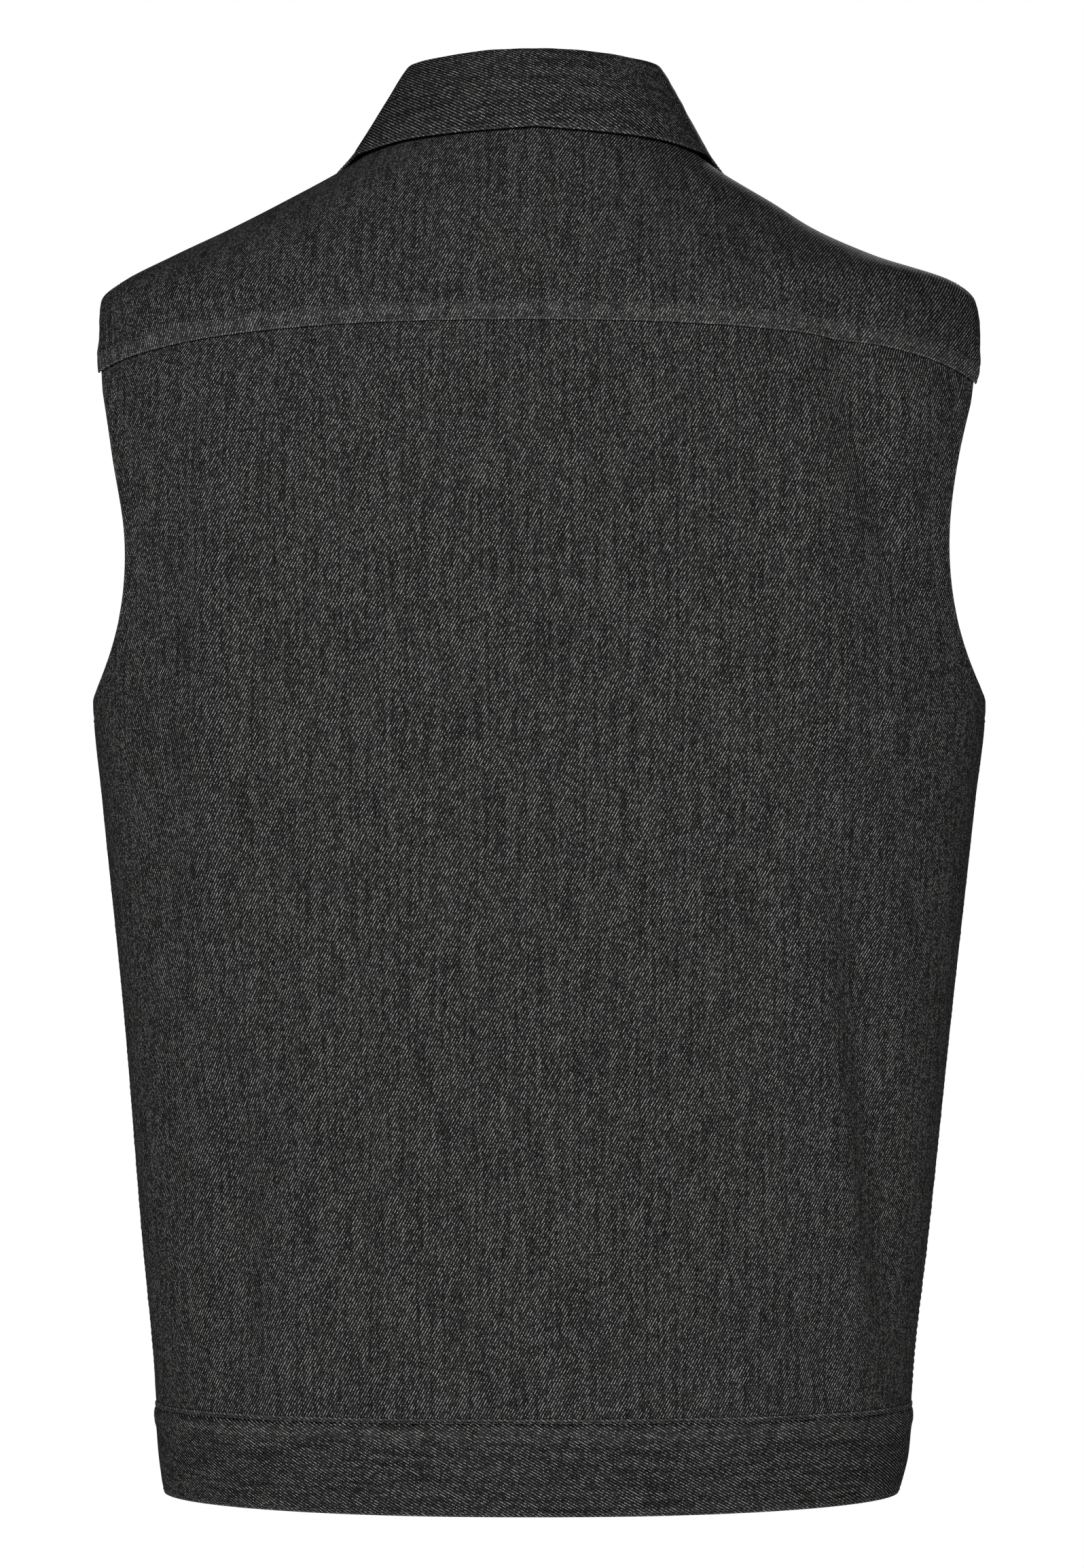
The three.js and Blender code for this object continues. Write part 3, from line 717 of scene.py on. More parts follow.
def wall_round(name, middle, normal, spans, wall, shape, grain, wear_and_shade):
    """Builds a cloth piece half to each side of a grid of middle points."""
    flat = flatten(middle, grain, not points_out(middle + normal, middle))
    half = (wall * rounded(spans.nearest()) / 2)[..., None]
    own = (shape * smoothstep(spans.nearest(), 0, 1))[..., None]
    outer, inner = middle + normal * (own + half), middle + normal * (own - half)
    return Laid(cloth_piece(name, outer, inner, flat, wear_and_shade), outer, normal, spans)


def lay(name, grid, face, wall, shape, wear_and_shade, out=0.0, centre_x=0.0, cross=False):
    """Lays a piece on the form. shape and wear work on its spans and points."""
    base, normal = ring_point(*grid), ring_normal(*grid)
    spans = Spans(base)
    middle = base + normal * (relief(base) + out - wall / 2)[..., None]
    grain = grain_of(middle, face, centre_x, cross)
    return wall_round(name, middle, normal, spans, wall, shape(spans, base), grain, wear_and_shade(spans, base))


# %% [markdown]
# The back is one panel from side seam to side seam. Its top edge goes under the yoke and its
# lower edge meets the waistband, whose stitching gathers it a little.

# %% Back panel
BODY_ROWS = 84
ARMHOLE_ROWS = 60
LAP_SINK = 1.1
LAP_SINK_EASE = 14
SIDE_PUCKERS_START = (2, 20)

body_start, body_end = WAIST_SEAM + SEAM_GAP / 2, UNDERARM - 0.5
body_levels = body_start + stops(body_end - body_start, BODY_ROWS, EDGE_STOPS, (0, 1.5, 4, 8, 10, 12))


def back_panel_grid():
    rows = [back_row(seam_edge(z, BACK, LEFT), seam_edge(z, BACK, RIGHT), z) for z in body_levels]
    for t in np.linspace(0, 1, ARMHOLE_ROWS + 1):
        left, right = (armhole_edge(lerp(-QUARTER, lift_at(YOKE_SEAM[name] + YOKE_LAP), t), BACK, side)
                       for name, side in SIDES.items())
        rows.append(back_row(left, right, lerp(UNDERARM, YOKE_SEAM["middle"] + YOKE_LAP, t)))
    return as_grid(rows)


def side_puckers(base, away, seed):
    """Puckers beside a side seam, below the armhole."""
    z = base[..., 2]
    return smoothstep(UNDERARM - z, *SIDE_PUCKERS_START) * puckers(z, away, "side", seed)


def armhole_shape(base, seed):
    away = from_armhole(base)
    ring = np.arctan2(base[..., 2] - ARMHOLE_MIDDLE, np.abs(base[..., 1])) * ARMHOLE_HALF
    return groove(away, ARMHOLE_STITCH, depth=0.6) + puckers(ring, away, "armhole", seed)


def back_panel_shape(spans, base):
    """The back's own relief. Its top sinks a little where the yoke's edge presses on it."""
    pressed = groove(spans.top, YOKE_LAP + 0.8, depth=0.9)
    sides = side_puckers(base, spans.start, 13) + side_puckers(base, spans.end, 14)
    return armhole_shape(base, 11) + puckers(spans.start, spans.bottom, "waist", 12) + sides + pressed


def armhole_wear(spans, base):
    return rubbed_edge(from_armhole(base), reach=2.5, strength=0.6)


def sunk_under_yoke(below_edge):
    """How far the back sinks under the yoke, from its distance below the yoke's edge."""
    return -LAP_SINK * (1 - smoothstep(below_edge, 0, LAP_SINK_EASE))


grid = back_panel_grid()
base = ring_point(*grid)
sunk = sunk_under_yoke(Spans(base).top - YOKE_LAP)
back_panel = lay("back_panel_cloth", grid, BACK, hem_wall(base), back_panel_shape, armhole_wear, sunk)

# %% [markdown]
# The yoke laps 9 mm over the back panel, its edge turned under. Two rows of stitches hold it, one
# beside its folded edge and one above, and the cloth between them puckers. Above the second row
# the yoke comes down to the form and wraps over to the shoulder seams.

# %% Back yoke
YOKE_ROWS_OF_STITCHES = (1.9, 8.6)
YOKE_EASE = 20
LAP_CLOTH = 1.5
LAP_OUT = LAP_CLOTH + 0.4 - LAP_SINK


def yoke_lap(above_edge):
    """Share of the yoke's lap at a height above its edge: whole up to the second row."""
    return 1 - smoothstep(above_edge, YOKE_LAP + 0.5, YOKE_EASE)


def yoke_row(offset):
    """Row across the back at a height above the yoke seam."""
    left, right = (armhole_edge(lift_at(YOKE_SEAM[name] + offset), BACK, side)
                   for name, side in SIDES.items())
    return back_row(left, right, YOKE_SEAM["middle"] + offset)


def yoke_edge(name, offset):
    """The armhole's edge from a height above the yoke seam to the shoulder tip."""
    start = lift_at(YOKE_SEAM[name] + offset)
    return lambda share: armhole_edge(lerp(start, QUARTER, share), BACK, SIDES[name])


def neck_row(around, face):
    """Places along the neck edge between two turns."""
    return spread(lambda w: neck_place(lerp(*around, w)),
                  lambda total: np.linspace(0, total, NECK_COLUMNS[FACE_NAMES[face]] + 1))


def yoke_grid():
    lapped = YOKE_LAP + HEM_STEP
    rows = [yoke_row(offset) for offset in [*EDGE_STOPS[EDGE_STOPS < lapped], lapped]]
    neck = neck_row((QUARTER, -QUARTER), BACK)
    left, right = (spread(ridge_path(side, BACK), shoulder_stops) for side in (LEFT, RIGHT))
    top = tuple(np.concatenate([left[k], neck[k][1:-1], right[k][::-1]]) for k in (0, 1))
    edges = [yoke_edge(name, lapped) for name in SIDES]
    return as_grid([*rows, *shoulder_rows(rows[-1], top, *edges, BACK)])


def yoke_shape(spans, base):
    lower, upper = YOKE_ROWS_OF_STITCHES
    between_rows = puckers(spans.start, spans.bottom, "yoke", 21)
    above_rows = np.maximum(puckers(spans.start, spans.bottom, "above yoke rows", 22), 0)
    stitched = groove(spans.bottom, lower, depth=0.3) + groove(spans.bottom, upper, depth=0.4)
    return between_rows + above_rows + stitched + armhole_shape(base, 23)


def yoke_wear(spans, base):
    edge = rubbed_edge(spans.bottom, reach=1.5, strength=1.2)
    band = 0.5 * bump_at(spans.bottom, centre=5.2, width=2.4) * (1 + ripple(spans.start, 21))
    return np.maximum.reduce([edge, band, armhole_wear(spans, base)])


grid = yoke_grid()
base = ring_point(*grid)
spans = Spans(base)
lap_share = yoke_lap(spans.bottom)
wall = lerp(hem_wall(base), LAP_CLOTH, lap_share)
beside_armhole = rounded(np.minimum(spans.start, spans.end))
lift = lap_share * (LAP_OUT - HEM_CLOTH / 2 * (1 - beside_armhole))
back_yoke = lay("back_yoke_cloth", grid, BACK, wall, yoke_shape, yoke_wear, lift)

# %% [markdown]
# The two fronts are hidden in the photograph, so they are kept plain: each runs from the side
# seam to the closing, with the same hem round its armhole.

# %% Fronts
CHEST_ROW = {"edge_turn": 38, "middle": -135}
STAND_HALF = 15


def front_grid(side):
    edge_x = STAND_HALF + SEAM_GAP if side == LEFT else -STAND_HALF - SEAM_GAP / 2

    def row(edge, middle):
        inner = turn_at_x(edge_x, middle, FRONT)
        turn, z = spread(lambda w: (lerp(edge[0], inner, w), lerp(edge[1], middle, w**1.5)), front_stops)
        turn[-1] = turn_at_x(edge_x, z[-1], FRONT)
        return turn, z

    rows = [row(seam_edge(z, FRONT, side), z) for z in body_levels]
    chest = math.radians(CHEST_ROW["edge_turn"])
    for t in np.linspace(0, 1, ARMHOLE_ROWS + 1):
        edge = armhole_edge(lerp(-QUARTER, chest, t), FRONT, side)
        rows.append(row(edge, lerp(UNDERARM, CHEST_ROW["middle"], t)))

    def closing_at(share):
        z = lerp(CHEST_ROW["middle"], neck_level(edge_x), 1 - (1 - share) ** 2)
        return turn_at_x(edge_x, z, FRONT), z

    def edge_at(share):
        return armhole_edge(lerp(chest, QUARTER, share), FRONT, side)

    neck_end = QUARTER + math.acos(abs(edge_x) / NECK_HALF_WIDTH)
    neck = neck_row((side * QUARTER, side * neck_end), FRONT)
    ridge = spread(ridge_path(side, FRONT), shoulder_stops)
    top = tuple(np.concatenate([ridge[k], neck[k][1:]]) for k in (0, 1))
    return as_grid([*rows, *shoulder_rows(rows[-1], top, edge_at, closing_at, FRONT)])


def front_shape(spans, base):
    seams = side_puckers(base, spans.start, 32) + puckers(spans.start, spans.top, "shoulder", 33)
    return armhole_shape(base, 31) + puckers(spans.start, spans.bottom, "waist", 34) + seams


fronts = {}
for side, name, centre_x in ((LEFT, "front_left_cloth", 90), (RIGHT, "front_right_cloth", -90)):
    grid = front_grid(side)
    wall = hem_wall(ring_point(*grid))
    fronts[side] = lay(name, grid, FRONT, wall, front_shape, armhole_wear, centre_x=centre_x)

# %% [markdown]
# Two doubled strips close the front. The right one carries the buttons. The left one lies over
# it and has the buttonholes. Both run from the neck edge to the waist seam.

# %% Closing strips
PLACKET_EDGE = {"right": -15, "left": 25}
PLACKET_OUT = DOUBLE_CLOTH + LAYER_GAP
STRIP_CROWDING = 1.6
STRIP_ROWS = 190
STRIP_LENGTH = 520
STRIP_EDGE = EDGE_STOPS[:6]
STRIP_STITCH = 2.2


def strip_grid(from_x, to_x, columns):
    width = to_x - from_x
    x = from_x + stops(width, columns, STRIP_EDGE, STRIP_EDGE)
    share = stops(1, STRIP_ROWS, STRIP_EDGE / STRIP_LENGTH)
    t = (1 - (1 - share) ** STRIP_CROWDING)[:, None]
    z = lerp(WAIST_SEAM + SEAM_GAP / 2, neck_level(x)[None, :], t)
    return turn_at_x(np.broadcast_to(x, z.shape), z, FRONT), z


def strip_shape(spans, base):
    sides = np.minimum(spans.start, spans.end)
    return groove(sides, STRIP_STITCH, depth=0.3) + puckers(base[..., 2], sides, "strip", 41)


def strip_wear(spans, base):
    return rubbed_edge(np.minimum(spans.start, spans.end), reach=1.4)


def strip(name, from_x, to_x, columns, out):
    grid = strip_grid(from_x, to_x, columns)
    return lay(name, grid, FRONT, np.full(grid[0].shape, DOUBLE_CLOTH), strip_shape, strip_wear, out)


button_stand = strip("button_stand_cloth", -STAND_HALF + SEAM_GAP / 2, STAND_HALF, 10, 0.0)
placket = strip("placket_cloth", PLACKET_EDGE["right"], PLACKET_EDGE["left"], 14, PLACKET_OUT)

# %% [markdown]
# The waistband is one doubled strip, cut across the grain, so its weave lies on its side. Its left
# end laps over its right end at the front. It is sewn close to its upper edge, and the seam
# allowance inside makes it swell and pucker below that row.

# %% Waistband
BAND_OUT = 0.8
BAND_LAP_OUT = BAND_OUT + DOUBLE_CLOTH + LAYER_GAP
BAND_LAP_SHARE = 0.85
BAND_LAP = (21, 27)
BAND_COLUMNS = 400
BAND_ROWS = 12
BAND_STITCH = 1.9
BAND_EDGE = EDGE_STOPS[:6]


def waistband_grid():
    start = turn_at_x(STAND_HALF, WAIST_SEAM, FRONT)
    end = turn_at_x(PLACKET_EDGE["right"], WAIST_SEAM, FRONT) - 2 * math.pi
    depth = WAIST_SEAM - LOWER_EDGE
    rows = []
    for t in stops(depth, BAND_ROWS, EDGE_STOPS, BAND_EDGE) / depth:
        def path(w, t=t):
            turn = lerp(start, end, w)
            lower = LOWER_EDGE + LOWER_EDGE_SIDE_RISE * np.cos(turn) ** 2
            return turn, lerp(WAIST_SEAM - SEAM_GAP / 2, lower, t)
        rows.append(spread(path, lambda total: stops(total, BAND_COLUMNS, BAND_EDGE, BAND_EDGE)))
    return as_grid(rows)


def band_shape(spans, base):
    ripples = puckers(spans.start, spans.bottom, "band", 51) + puckers(spans.start, spans.top, "edge", 52)
    upper = groove(spans.bottom, BAND_STITCH + 0.5, depth=0.7)
    lower = groove(spans.top, BAND_STITCH, depth=0.3)
    swell = 0.6 * bump_at(spans.bottom, centre=7.5, width=4)
    return swell + ripples + upper + lower


def band_wear_and_groove_shade(spans, base):
    edges = rubbed_edge(np.minimum(spans.bottom, spans.top), reach=1.1, strength=1.8)
    band = 0.35 * bump_at(spans.bottom, centre=7, width=3.5) * (1 + ripple(spans.start, 51))
    # The subtracted strip is painted shade: a dark line in the groove of the upper row of stitches. The
    # edges and the puckered band are real wear.
    return edges + band - 0.4 * bump_at(spans.bottom, BAND_STITCH + 0.5, width=0.9)


grid = waistband_grid()
base = ring_point(*grid)
columns_share = np.linspace(0, 1, base.shape[1])
lap = np.where(columns_share > BAND_LAP_SHARE, 1 - smoothstep(base[..., 0], *BAND_LAP), 0)
wall = np.full(lap.shape, DOUBLE_CLOTH)
lift = lerp(BAND_OUT, BAND_LAP_OUT, lap)
waistband = lay("waistband_cloth", grid, BACK, wall, band_shape, band_wear_and_groove_shade, lift, cross=True)
band_spans = Spans(waistband.outer)
strip_size = (band_spans.start + band_spans.end).max(), (band_spans.bottom + band_spans.top).max()
cuts["waistband_cloth"]["flat"] = tuple(size * MM for size in strip_size)
print(f"waistband as a straight strip: {strip_size[0]:.0f} x {strip_size[1]:.0f} mm")

# %% [markdown]
# The collar stands up from the neck seam, folds over and falls on the yoke. It is made from
# sections round the neck. Each is a smooth curve through eight points worked out from a short
# table: the stand, the fold and the fall.

# %% Collar
COLLAR_CLOTH = 1.6
COLLAR_LIFT = 0.25
COLLAR_FOLD = 2.2
STAND_BOW = 0.4
COLLAR_END = 9
NECK_AXIS_Y = -14
COLLAR_COLUMNS = 230
COLLAR_STEPS = 52
COLLAR_STITCH = 2.0
COLLAR_SPAN = {"round": 480, "base": 230, "edge": 150}
FALL_SHARE = 0.55
COLLAR_SECTIONS = table("at rise inset edge edge_z clear bow", [
    [0, 34.5, 9, 0, 0.5, 3.8, 3],
    [45, 35.5, 10, 47, -4, 3.2, 2.4],
    [70, 36, 10.5, 71, -7.5, 2.4, 1],
    [90, 34, 12, 90, -9.5, 2.4, 0.4],
    [110, 31, 10, 119, -26, 3.5, 1.6],
    [135, 27, 8, 152, -60, 4, 4],
    [160, 22, 7, 161, -83, 4.5, 5],
    [174, 19, 6, 167, -101, 5, 5],
])
collar_curves = {name: curve_through(COLLAR_SECTIONS, "at", name)
                 for name in COLLAR_SECTIONS if name != "at"}


def smooth_path(points, steps):
    """Centripetal Catmull-Rom curves through points[k], one for each section."""
    first, last = 2 * points[0] - points[1], 2 * points[-1] - points[-2]
    known = np.concatenate([first[None], points, last[None]])
    gaps = np.linalg.norm(np.diff(known, axis=0), axis=-1, keepdims=True) ** 0.5
    rows = []
    for at in steps * (len(points) - 1):
        i = min(int(at), len(points) - 2)
        t = at - i
        p0, p1, p2, p3 = known[i:i + 4]
        d0, d1, d2 = gaps[i:i + 3]
        leave = ((p1 - p0) / d0 - (p2 - p0) / (d0 + d1) + (p2 - p1) / d1) * d1
        arrive = ((p2 - p1) / d1 - (p3 - p1) / (d1 + d2) + (p3 - p2) / d2) * d1
        cubic = 2 * p1 - 2 * p2 + leave + arrive
        square = -3 * p1 + 3 * p2 - 2 * leave - arrive
        rows.append(p1 + leave * t + square * t**2 + cubic * t**3)
    return np.array(rows)


def collar_points(around, steps):
    at = np.abs(np.degrees(around))
    value = {name: curve(at)[:, None] for name, curve in collar_curves.items()}
    turn, z = neck_place(around)
    neck = cloth_point(turn, z, -CLOTH / 2)
    outward = unit(np.stack([neck[:, 0], neck[:, 1] - NECK_AXIS_Y, np.zeros(len(around))], -1))
    up = np.array([0, 0, 1])
    fold = neck + up * value["rise"] - outward * value["inset"]
    inner = fold - up * COLLAR_FOLD - outward * COLLAR_FOLD
    outer = fold - up * COLLAR_FOLD + outward * COLLAR_FOLD
    base = neck + unit(inner - neck) * COLLAR_LIFT
    edge_turn = QUARTER - np.sign(around) * np.radians(value["edge"][:, 0])
    edge = cloth_point(edge_turn, value["edge_z"][:, 0], value["clear"][:, 0])
    fall = [lerp(outer, edge, t) + outward * value["bow"] for t in (0.33, 0.67)]
    stand = lerp(base, inner, 0.5) + outward * STAND_BOW
    return smooth_path(np.array([base, stand, inner, fold, outer, *fall, edge]), steps)


def collar_grid():
    end = QUARTER + math.acos(COLLAR_END / NECK_HALF_WIDTH)
    ends = EDGE_STOPS[:7] / COLLAR_SPAN["round"]
    share = stops(1, COLLAR_COLUMNS, ends, ends)
    base, edge = EDGE_STOPS[:3] / COLLAR_SPAN["base"], EDGE_STOPS[:8] / COLLAR_SPAN["edge"]
    steps = stops(1, COLLAR_STEPS, base, edge)
    return collar_points(lerp(end, -end, share), steps)


def collar_shape(spans):
    sides = np.minimum.reduce([spans.start, spans.end, spans.top])
    roll = 0.25 * ripple(spans.start * 0.45, 62) * bump_at(spans.top, centre=30, width=16)
    return groove(sides, COLLAR_STITCH, depth=0.3) + puckers(spans.start, spans.top, "edge", 61) + roll


middle = collar_grid()
spans = Spans(middle)
normal = unit(np.cross(np.gradient(middle, axis=1), np.gradient(middle, axis=0)))
if np.sum(normal[-1] * (middle[-1] - np.array([0, NECK_AXIS_Y, 0]))) < 0:
    normal = -normal
fall_rows = np.arange(middle.shape[0])[:, None] > middle.shape[0] * FALL_SHARE
target, weight = grain_of(middle, BACK, cross=True)
grain = target, weight * fall_rows * (middle[..., 1] > 0)
wear_and_shade = rubbed_edge(spans.top, reach=1.2, strength=1.2)
collar = wall_round("collar_cloth", middle, normal, spans, COLLAR_CLOTH, collar_shape(spans), grain, wear_and_shade)

# %% [markdown]
# Stitches are real thread here, one small bead each, since a seam that is only painted on looks
# flat from near. One stitch is modelled: a short six-sided bead that dips at both ends. Copies of
# it follow each seam line, and all the stitches of a seam are one piece.

# %% Stitches
STITCH_LENGTH = 2.9
STITCH_GAP = 0.5
THREAD_RADIUS = 0.21
STITCH_SINK = 0.12
BEAD_SIDES = 6
STITCH_DEPTH = 0.2
BEAD_PROFILE = (
    (-0.5, 0.35, -1.0), (-0.36, 0.9, -0.1), (0.0, 1.0, 0.35), (0.36, 0.9, -0.1), (0.5, 0.35, -1.0))


def bead():
    """Points and faces of one stitch of length 1, with x along it and z out of the cloth."""
    points, faces = [], []
    for along, thick, rise in BEAD_PROFILE:
        for k in range(BEAD_SIDES):
            angle = 2 * math.pi * k / BEAD_SIDES
            points.append((along, thick * math.cos(angle), thick * math.sin(angle) + rise))
    last = (len(BEAD_PROFILE) - 1) * BEAD_SIDES
    for ring in range(0, last, BEAD_SIDES):
        for k in range(BEAD_SIDES):
            a, b = ring + k, ring + (k + 1) % BEAD_SIDES
            faces.append((a, b, b + BEAD_SIDES, a + BEAD_SIDES))
    faces += [tuple(range(BEAD_SIDES))[::-1], tuple(range(last, last + BEAD_SIDES))]
    return np.array(points), faces


def at_lengths(wanted, along, values):
    """Values of a line of points at the wanted lengths along it."""
    return np.stack([np.interp(wanted, along, column) for column in values.T], -1)


def stitch_frames(line, normals):
    """Start, end and outward direction of each stitch along a line of points."""
    along = np.append(0, np.cumsum(np.linalg.norm(np.diff(line, axis=0), axis=1)))
    count = max(1, int(along[-1] / (STITCH_LENGTH + STITCH_GAP)))
    starts = np.linspace(0, along[-1], count, endpoint=False)
    step = along[-1] / count
    ends = [at_lengths(starts + reach, along, line) for reach in (STITCH_GAP / 2, step - STITCH_GAP / 2)]
    return *ends, unit(at_lengths(starts + step / 2, along, normals))


def stitch_rows(name, rows):
    """One piece of thread with a stitch for every step along each row."""
    bead_points, bead_faces = bead()
    points, faces = [], []
    for line, normals in rows:
        for start, end, out in zip(*stitch_frames(line, normals)):
            run = end - start
            length = np.linalg.norm(run)
            forward = run / length
            side = np.cross(out, forward)
            first = len(points)
            for x, y, z in bead_points:
                lift = (z * THREAD_RADIUS + THREAD_RADIUS - STITCH_SINK) * out
                points.append((start + end) / 2 + forward * x * length + side * y * THREAD_RADIUS + lift)
            faces += [tuple(first + k for k in face) for face in bead_faces]
    print(f"{name}: {len(points) // len(bead_points)} stitches")
    return new_object(name, points, faces)


BUTTONHOLE_HALF = (10.5, 1.1)
BUTTONHOLE_SHIFT = 2.5
BUTTONHOLE_BITE = 1.9
BUTTONHOLE_STITCHES = 44


def buttonhole(z, out):
    """Short stitches side by side round a slit that lies level under a button."""
    around = np.linspace(0, 2 * np.pi, BUTTONHOLE_STITCHES, endpoint=False)
    rows = []
    for angle in around:
        spots = []
        for reach in (0, BUTTONHOLE_BITE):
            x = BUTTONHOLE_SHIFT + (BUTTONHOLE_HALF[0] + reach) * math.cos(angle)
            level = z + (BUTTONHOLE_HALF[1] + reach) * math.sin(angle)
            spots.append(cloth_point(turn_at_x(x, level, FRONT), level, out))
        rows.append((np.array(spots), np.array([ring_normal(-QUARTER, z)] * 2)))
    return rows


def seam_line(laid, border, distance, keep=slice(None)):
    """Points and outward directions along a line at a distance from one border of a piece."""
    values, fields = getattr(laid.spans, border), [laid.outer, laid.normal]
    if border in ("start", "end"):
        values, fields = values.T, [field.swapaxes(0, 1) for field in fields]
    if border in ("end", "top"):
        values, fields = values[::-1], [field[::-1] for field in fields]
    columns = range(values.shape[1])[keep]
    return [np.array([at_lengths(distance, values[:, j], field[:, j]) for j in columns])
            for field in fields]


def armhole_stitches(face, side):
    """Stitch lines round half an armhole, split where the yoke laps over the back."""
    turn, z = armhole_line(ARMHOLE_STITCH, face, side)
    if face == FRONT:
        return [(cloth_point(turn, z, -STITCH_DEPTH), ring_normal(turn, z))]
    seam = YOKE_SEAM["left" if side == LEFT else "right"]
    lift = np.where(z > seam, LAP_OUT * yoke_lap(z - seam), sunk_under_yoke(seam - z))
    point = cloth_point(turn, z, lift - STITCH_DEPTH)
    normal = ring_normal(turn, z)
    return [(point[part], normal[part]) for part in (z < seam - 1, z > seam + 1)]


BUTTON_HEIGHTS = (-86, -201, -316, -431, -546)
BAND_BUTTON_HEIGHT = -627
button_seats = [(z, PLACKET_OUT) for z in BUTTON_HEIGHTS] + [(BAND_BUTTON_HEIGHT, BAND_LAP_OUT)]
below_armhole = slice(0, len(body_levels))
ridge_columns = len(shoulder_stops(100))
lower, upper = YOKE_ROWS_OF_STITCHES
SEAMS = {
    "back_yoke_stitches": [
        seam_line(back_yoke, "bottom", lower),
        seam_line(back_yoke, "bottom", upper),
        seam_line(back_yoke, "top", STRIP_STITCH, slice(0, ridge_columns)),
        seam_line(back_yoke, "top", STRIP_STITCH, slice(-ridge_columns, None)),
    ],
    "armhole_stitches": [
        row for face in (BACK, FRONT) for side in (LEFT, RIGHT) for row in armhole_stitches(face, side)],
    "side_seam_stitches": [
        seam_line(back_panel, border, STRIP_STITCH, below_armhole) for border in ("start", "end")],
    "waistband_stitches": [
        seam_line(waistband, border, BAND_STITCH) for border in ("bottom", "top", "end")],
    "placket_stitches": [seam_line(placket, border, STRIP_STITCH) for border in ("start", "end")],
    "collar_stitches": [seam_line(collar, border, COLLAR_STITCH) for border in ("top", "start", "end")],
    "buttonhole_stitches": [row for z, out in button_seats for row in buttonhole(z, out)],
}
threads = [stitch_rows(name, rows) for name, rows in SEAMS.items()]

# %% [markdown]
# The buttons are pressed metal: a disc with a rolled rim, a dished face and a low dome in its
# middle. One is modelled from a cylinder by insetting and moving its front face, and bevelled.
# The others are copies of it, each turned to the cloth where it sits.

# %% Buttons
BUTTON_RADIUS = 8.5
BUTTON_THICKNESS = 3.2
BUTTON_SIDES = 56
BUTTON_RINGS = ((1.0, 0.0), (0.9, -1.0), (2.6, -0.1), (0.5, 0.35), (1.2, 0.25))
BUTTON_BEVEL = 0.45
BUTTON_GAP = 0.05


def front_faces(mesh, height):
    """Selects the flat front face, which is the highest one."""
    for face in mesh.polygons:
        face.select = face.normal.z > 0.9 and face.center.z > height - 0.001 * MM


def model_button():
    bpy.ops.object.select_all(action="DESELECT")
    bpy.ops.mesh.primitive_cylinder_add(
        vertices=BUTTON_SIDES, radius=BUTTON_RADIUS * MM,
        depth=BUTTON_THICKNESS * MM, location=(0, 0, BUTTON_THICKNESS / 2 * MM))
    button = bpy.context.active_object
    bpy.ops.object.transform_apply(location=True)
    front_faces(button.data, BUTTON_THICKNESS * MM)
    bpy.ops.object.mode_set(mode="EDIT")
    bpy.ops.mesh.select_mode(type="FACE")
    for inset, rise in BUTTON_RINGS:
        bpy.ops.mesh.inset(thickness=inset * MM)
        bpy.ops.transform.translate(value=(0, 0, rise * MM))
    bpy.ops.object.mode_set(mode="OBJECT")
    bevel = button.modifiers.new("rolled_rim", "BEVEL")
    bevel.width = BUTTON_BEVEL * MM
    bevel.segments = 3
    bevel.angle_limit = math.radians(30)
    bpy.ops.object.modifier_apply(modifier=bevel.name)
    bpy.ops.object.shade_smooth_by_angle(angle=math.radians(40))
    return button


def seat(button, z, out):
    """Puts a button's mesh on the closing at a height, its back just off the cloth."""
    normal = Vector(ring_normal(-QUARTER, z))
    place = Vector(cloth_point(-QUARTER, z, out + BUTTON_GAP)) * MM
    turned = Vector((0, 0, 1)).rotation_difference(normal).to_matrix().to_4x4()
    button.data.transform(Matrix.Translation(place) @ turned)


pattern_button = model_button()
buttons = []
for number, (height, out) in enumerate(button_seats, 1):
    button = add_object(f"metal_button_{number}", pattern_button.data.copy())
    seat(button, height, out)
    buttons.append(button)
bpy.data.objects.remove(pattern_button)

# %% [markdown]
# Shader maths reads best as plain expressions, so a small class stands for one number that flows
# between nodes. Adding or multiplying such values makes the Math nodes. Every other node comes
# from one method, which takes the node's settings first and then what its sockets get.

# %% Shader maths
class Value:
    """A number in a shader, the same or different at each point of the surface."""

    def __init__(self, finish, socket):
        self.finish, self.socket = finish, socket

    def maths(self, operation, *others):
        inputs = dict(enumerate([self, *others]))
        node = self.finish.node("ShaderNodeMath", {"operation": operation}, inputs)
        return Value(self.finish, node.outputs[0])

    def ramp(self, start, end, low=0.0, high=1.0):
        """Runs softly from low to high while the value goes from start to end."""
        inputs = {"Value": self, "From Min": start, "From Max": end, "To Min": low, "To Max": high}
        node = self.finish.node("ShaderNodeMapRange", {"interpolation_type": "SMOOTHSTEP"}, inputs)
        return Value(self.finish, node.outputs[0])


def operator(operation):
    """A method of Value that makes one kind of Math node."""
    return lambda value, *others: value.maths(operation, *others)


OPERATORS = {
    "__add__": "ADD", "__radd__": "ADD", "__mul__": "MULTIPLY", "__rmul__": "MULTIPLY",
    "__sub__": "SUBTRACT", "__pow__": "POWER", "__abs__": "ABSOLUTE", "floor": "FLOOR",
    "remainder": "FLOORED_MODULO", "smaller": "MINIMUM",
}
for name, operation in OPERATORS.items():
    setattr(Value, name, operator(operation))
Value.__rsub__ = lambda value, other: value * -1 + other


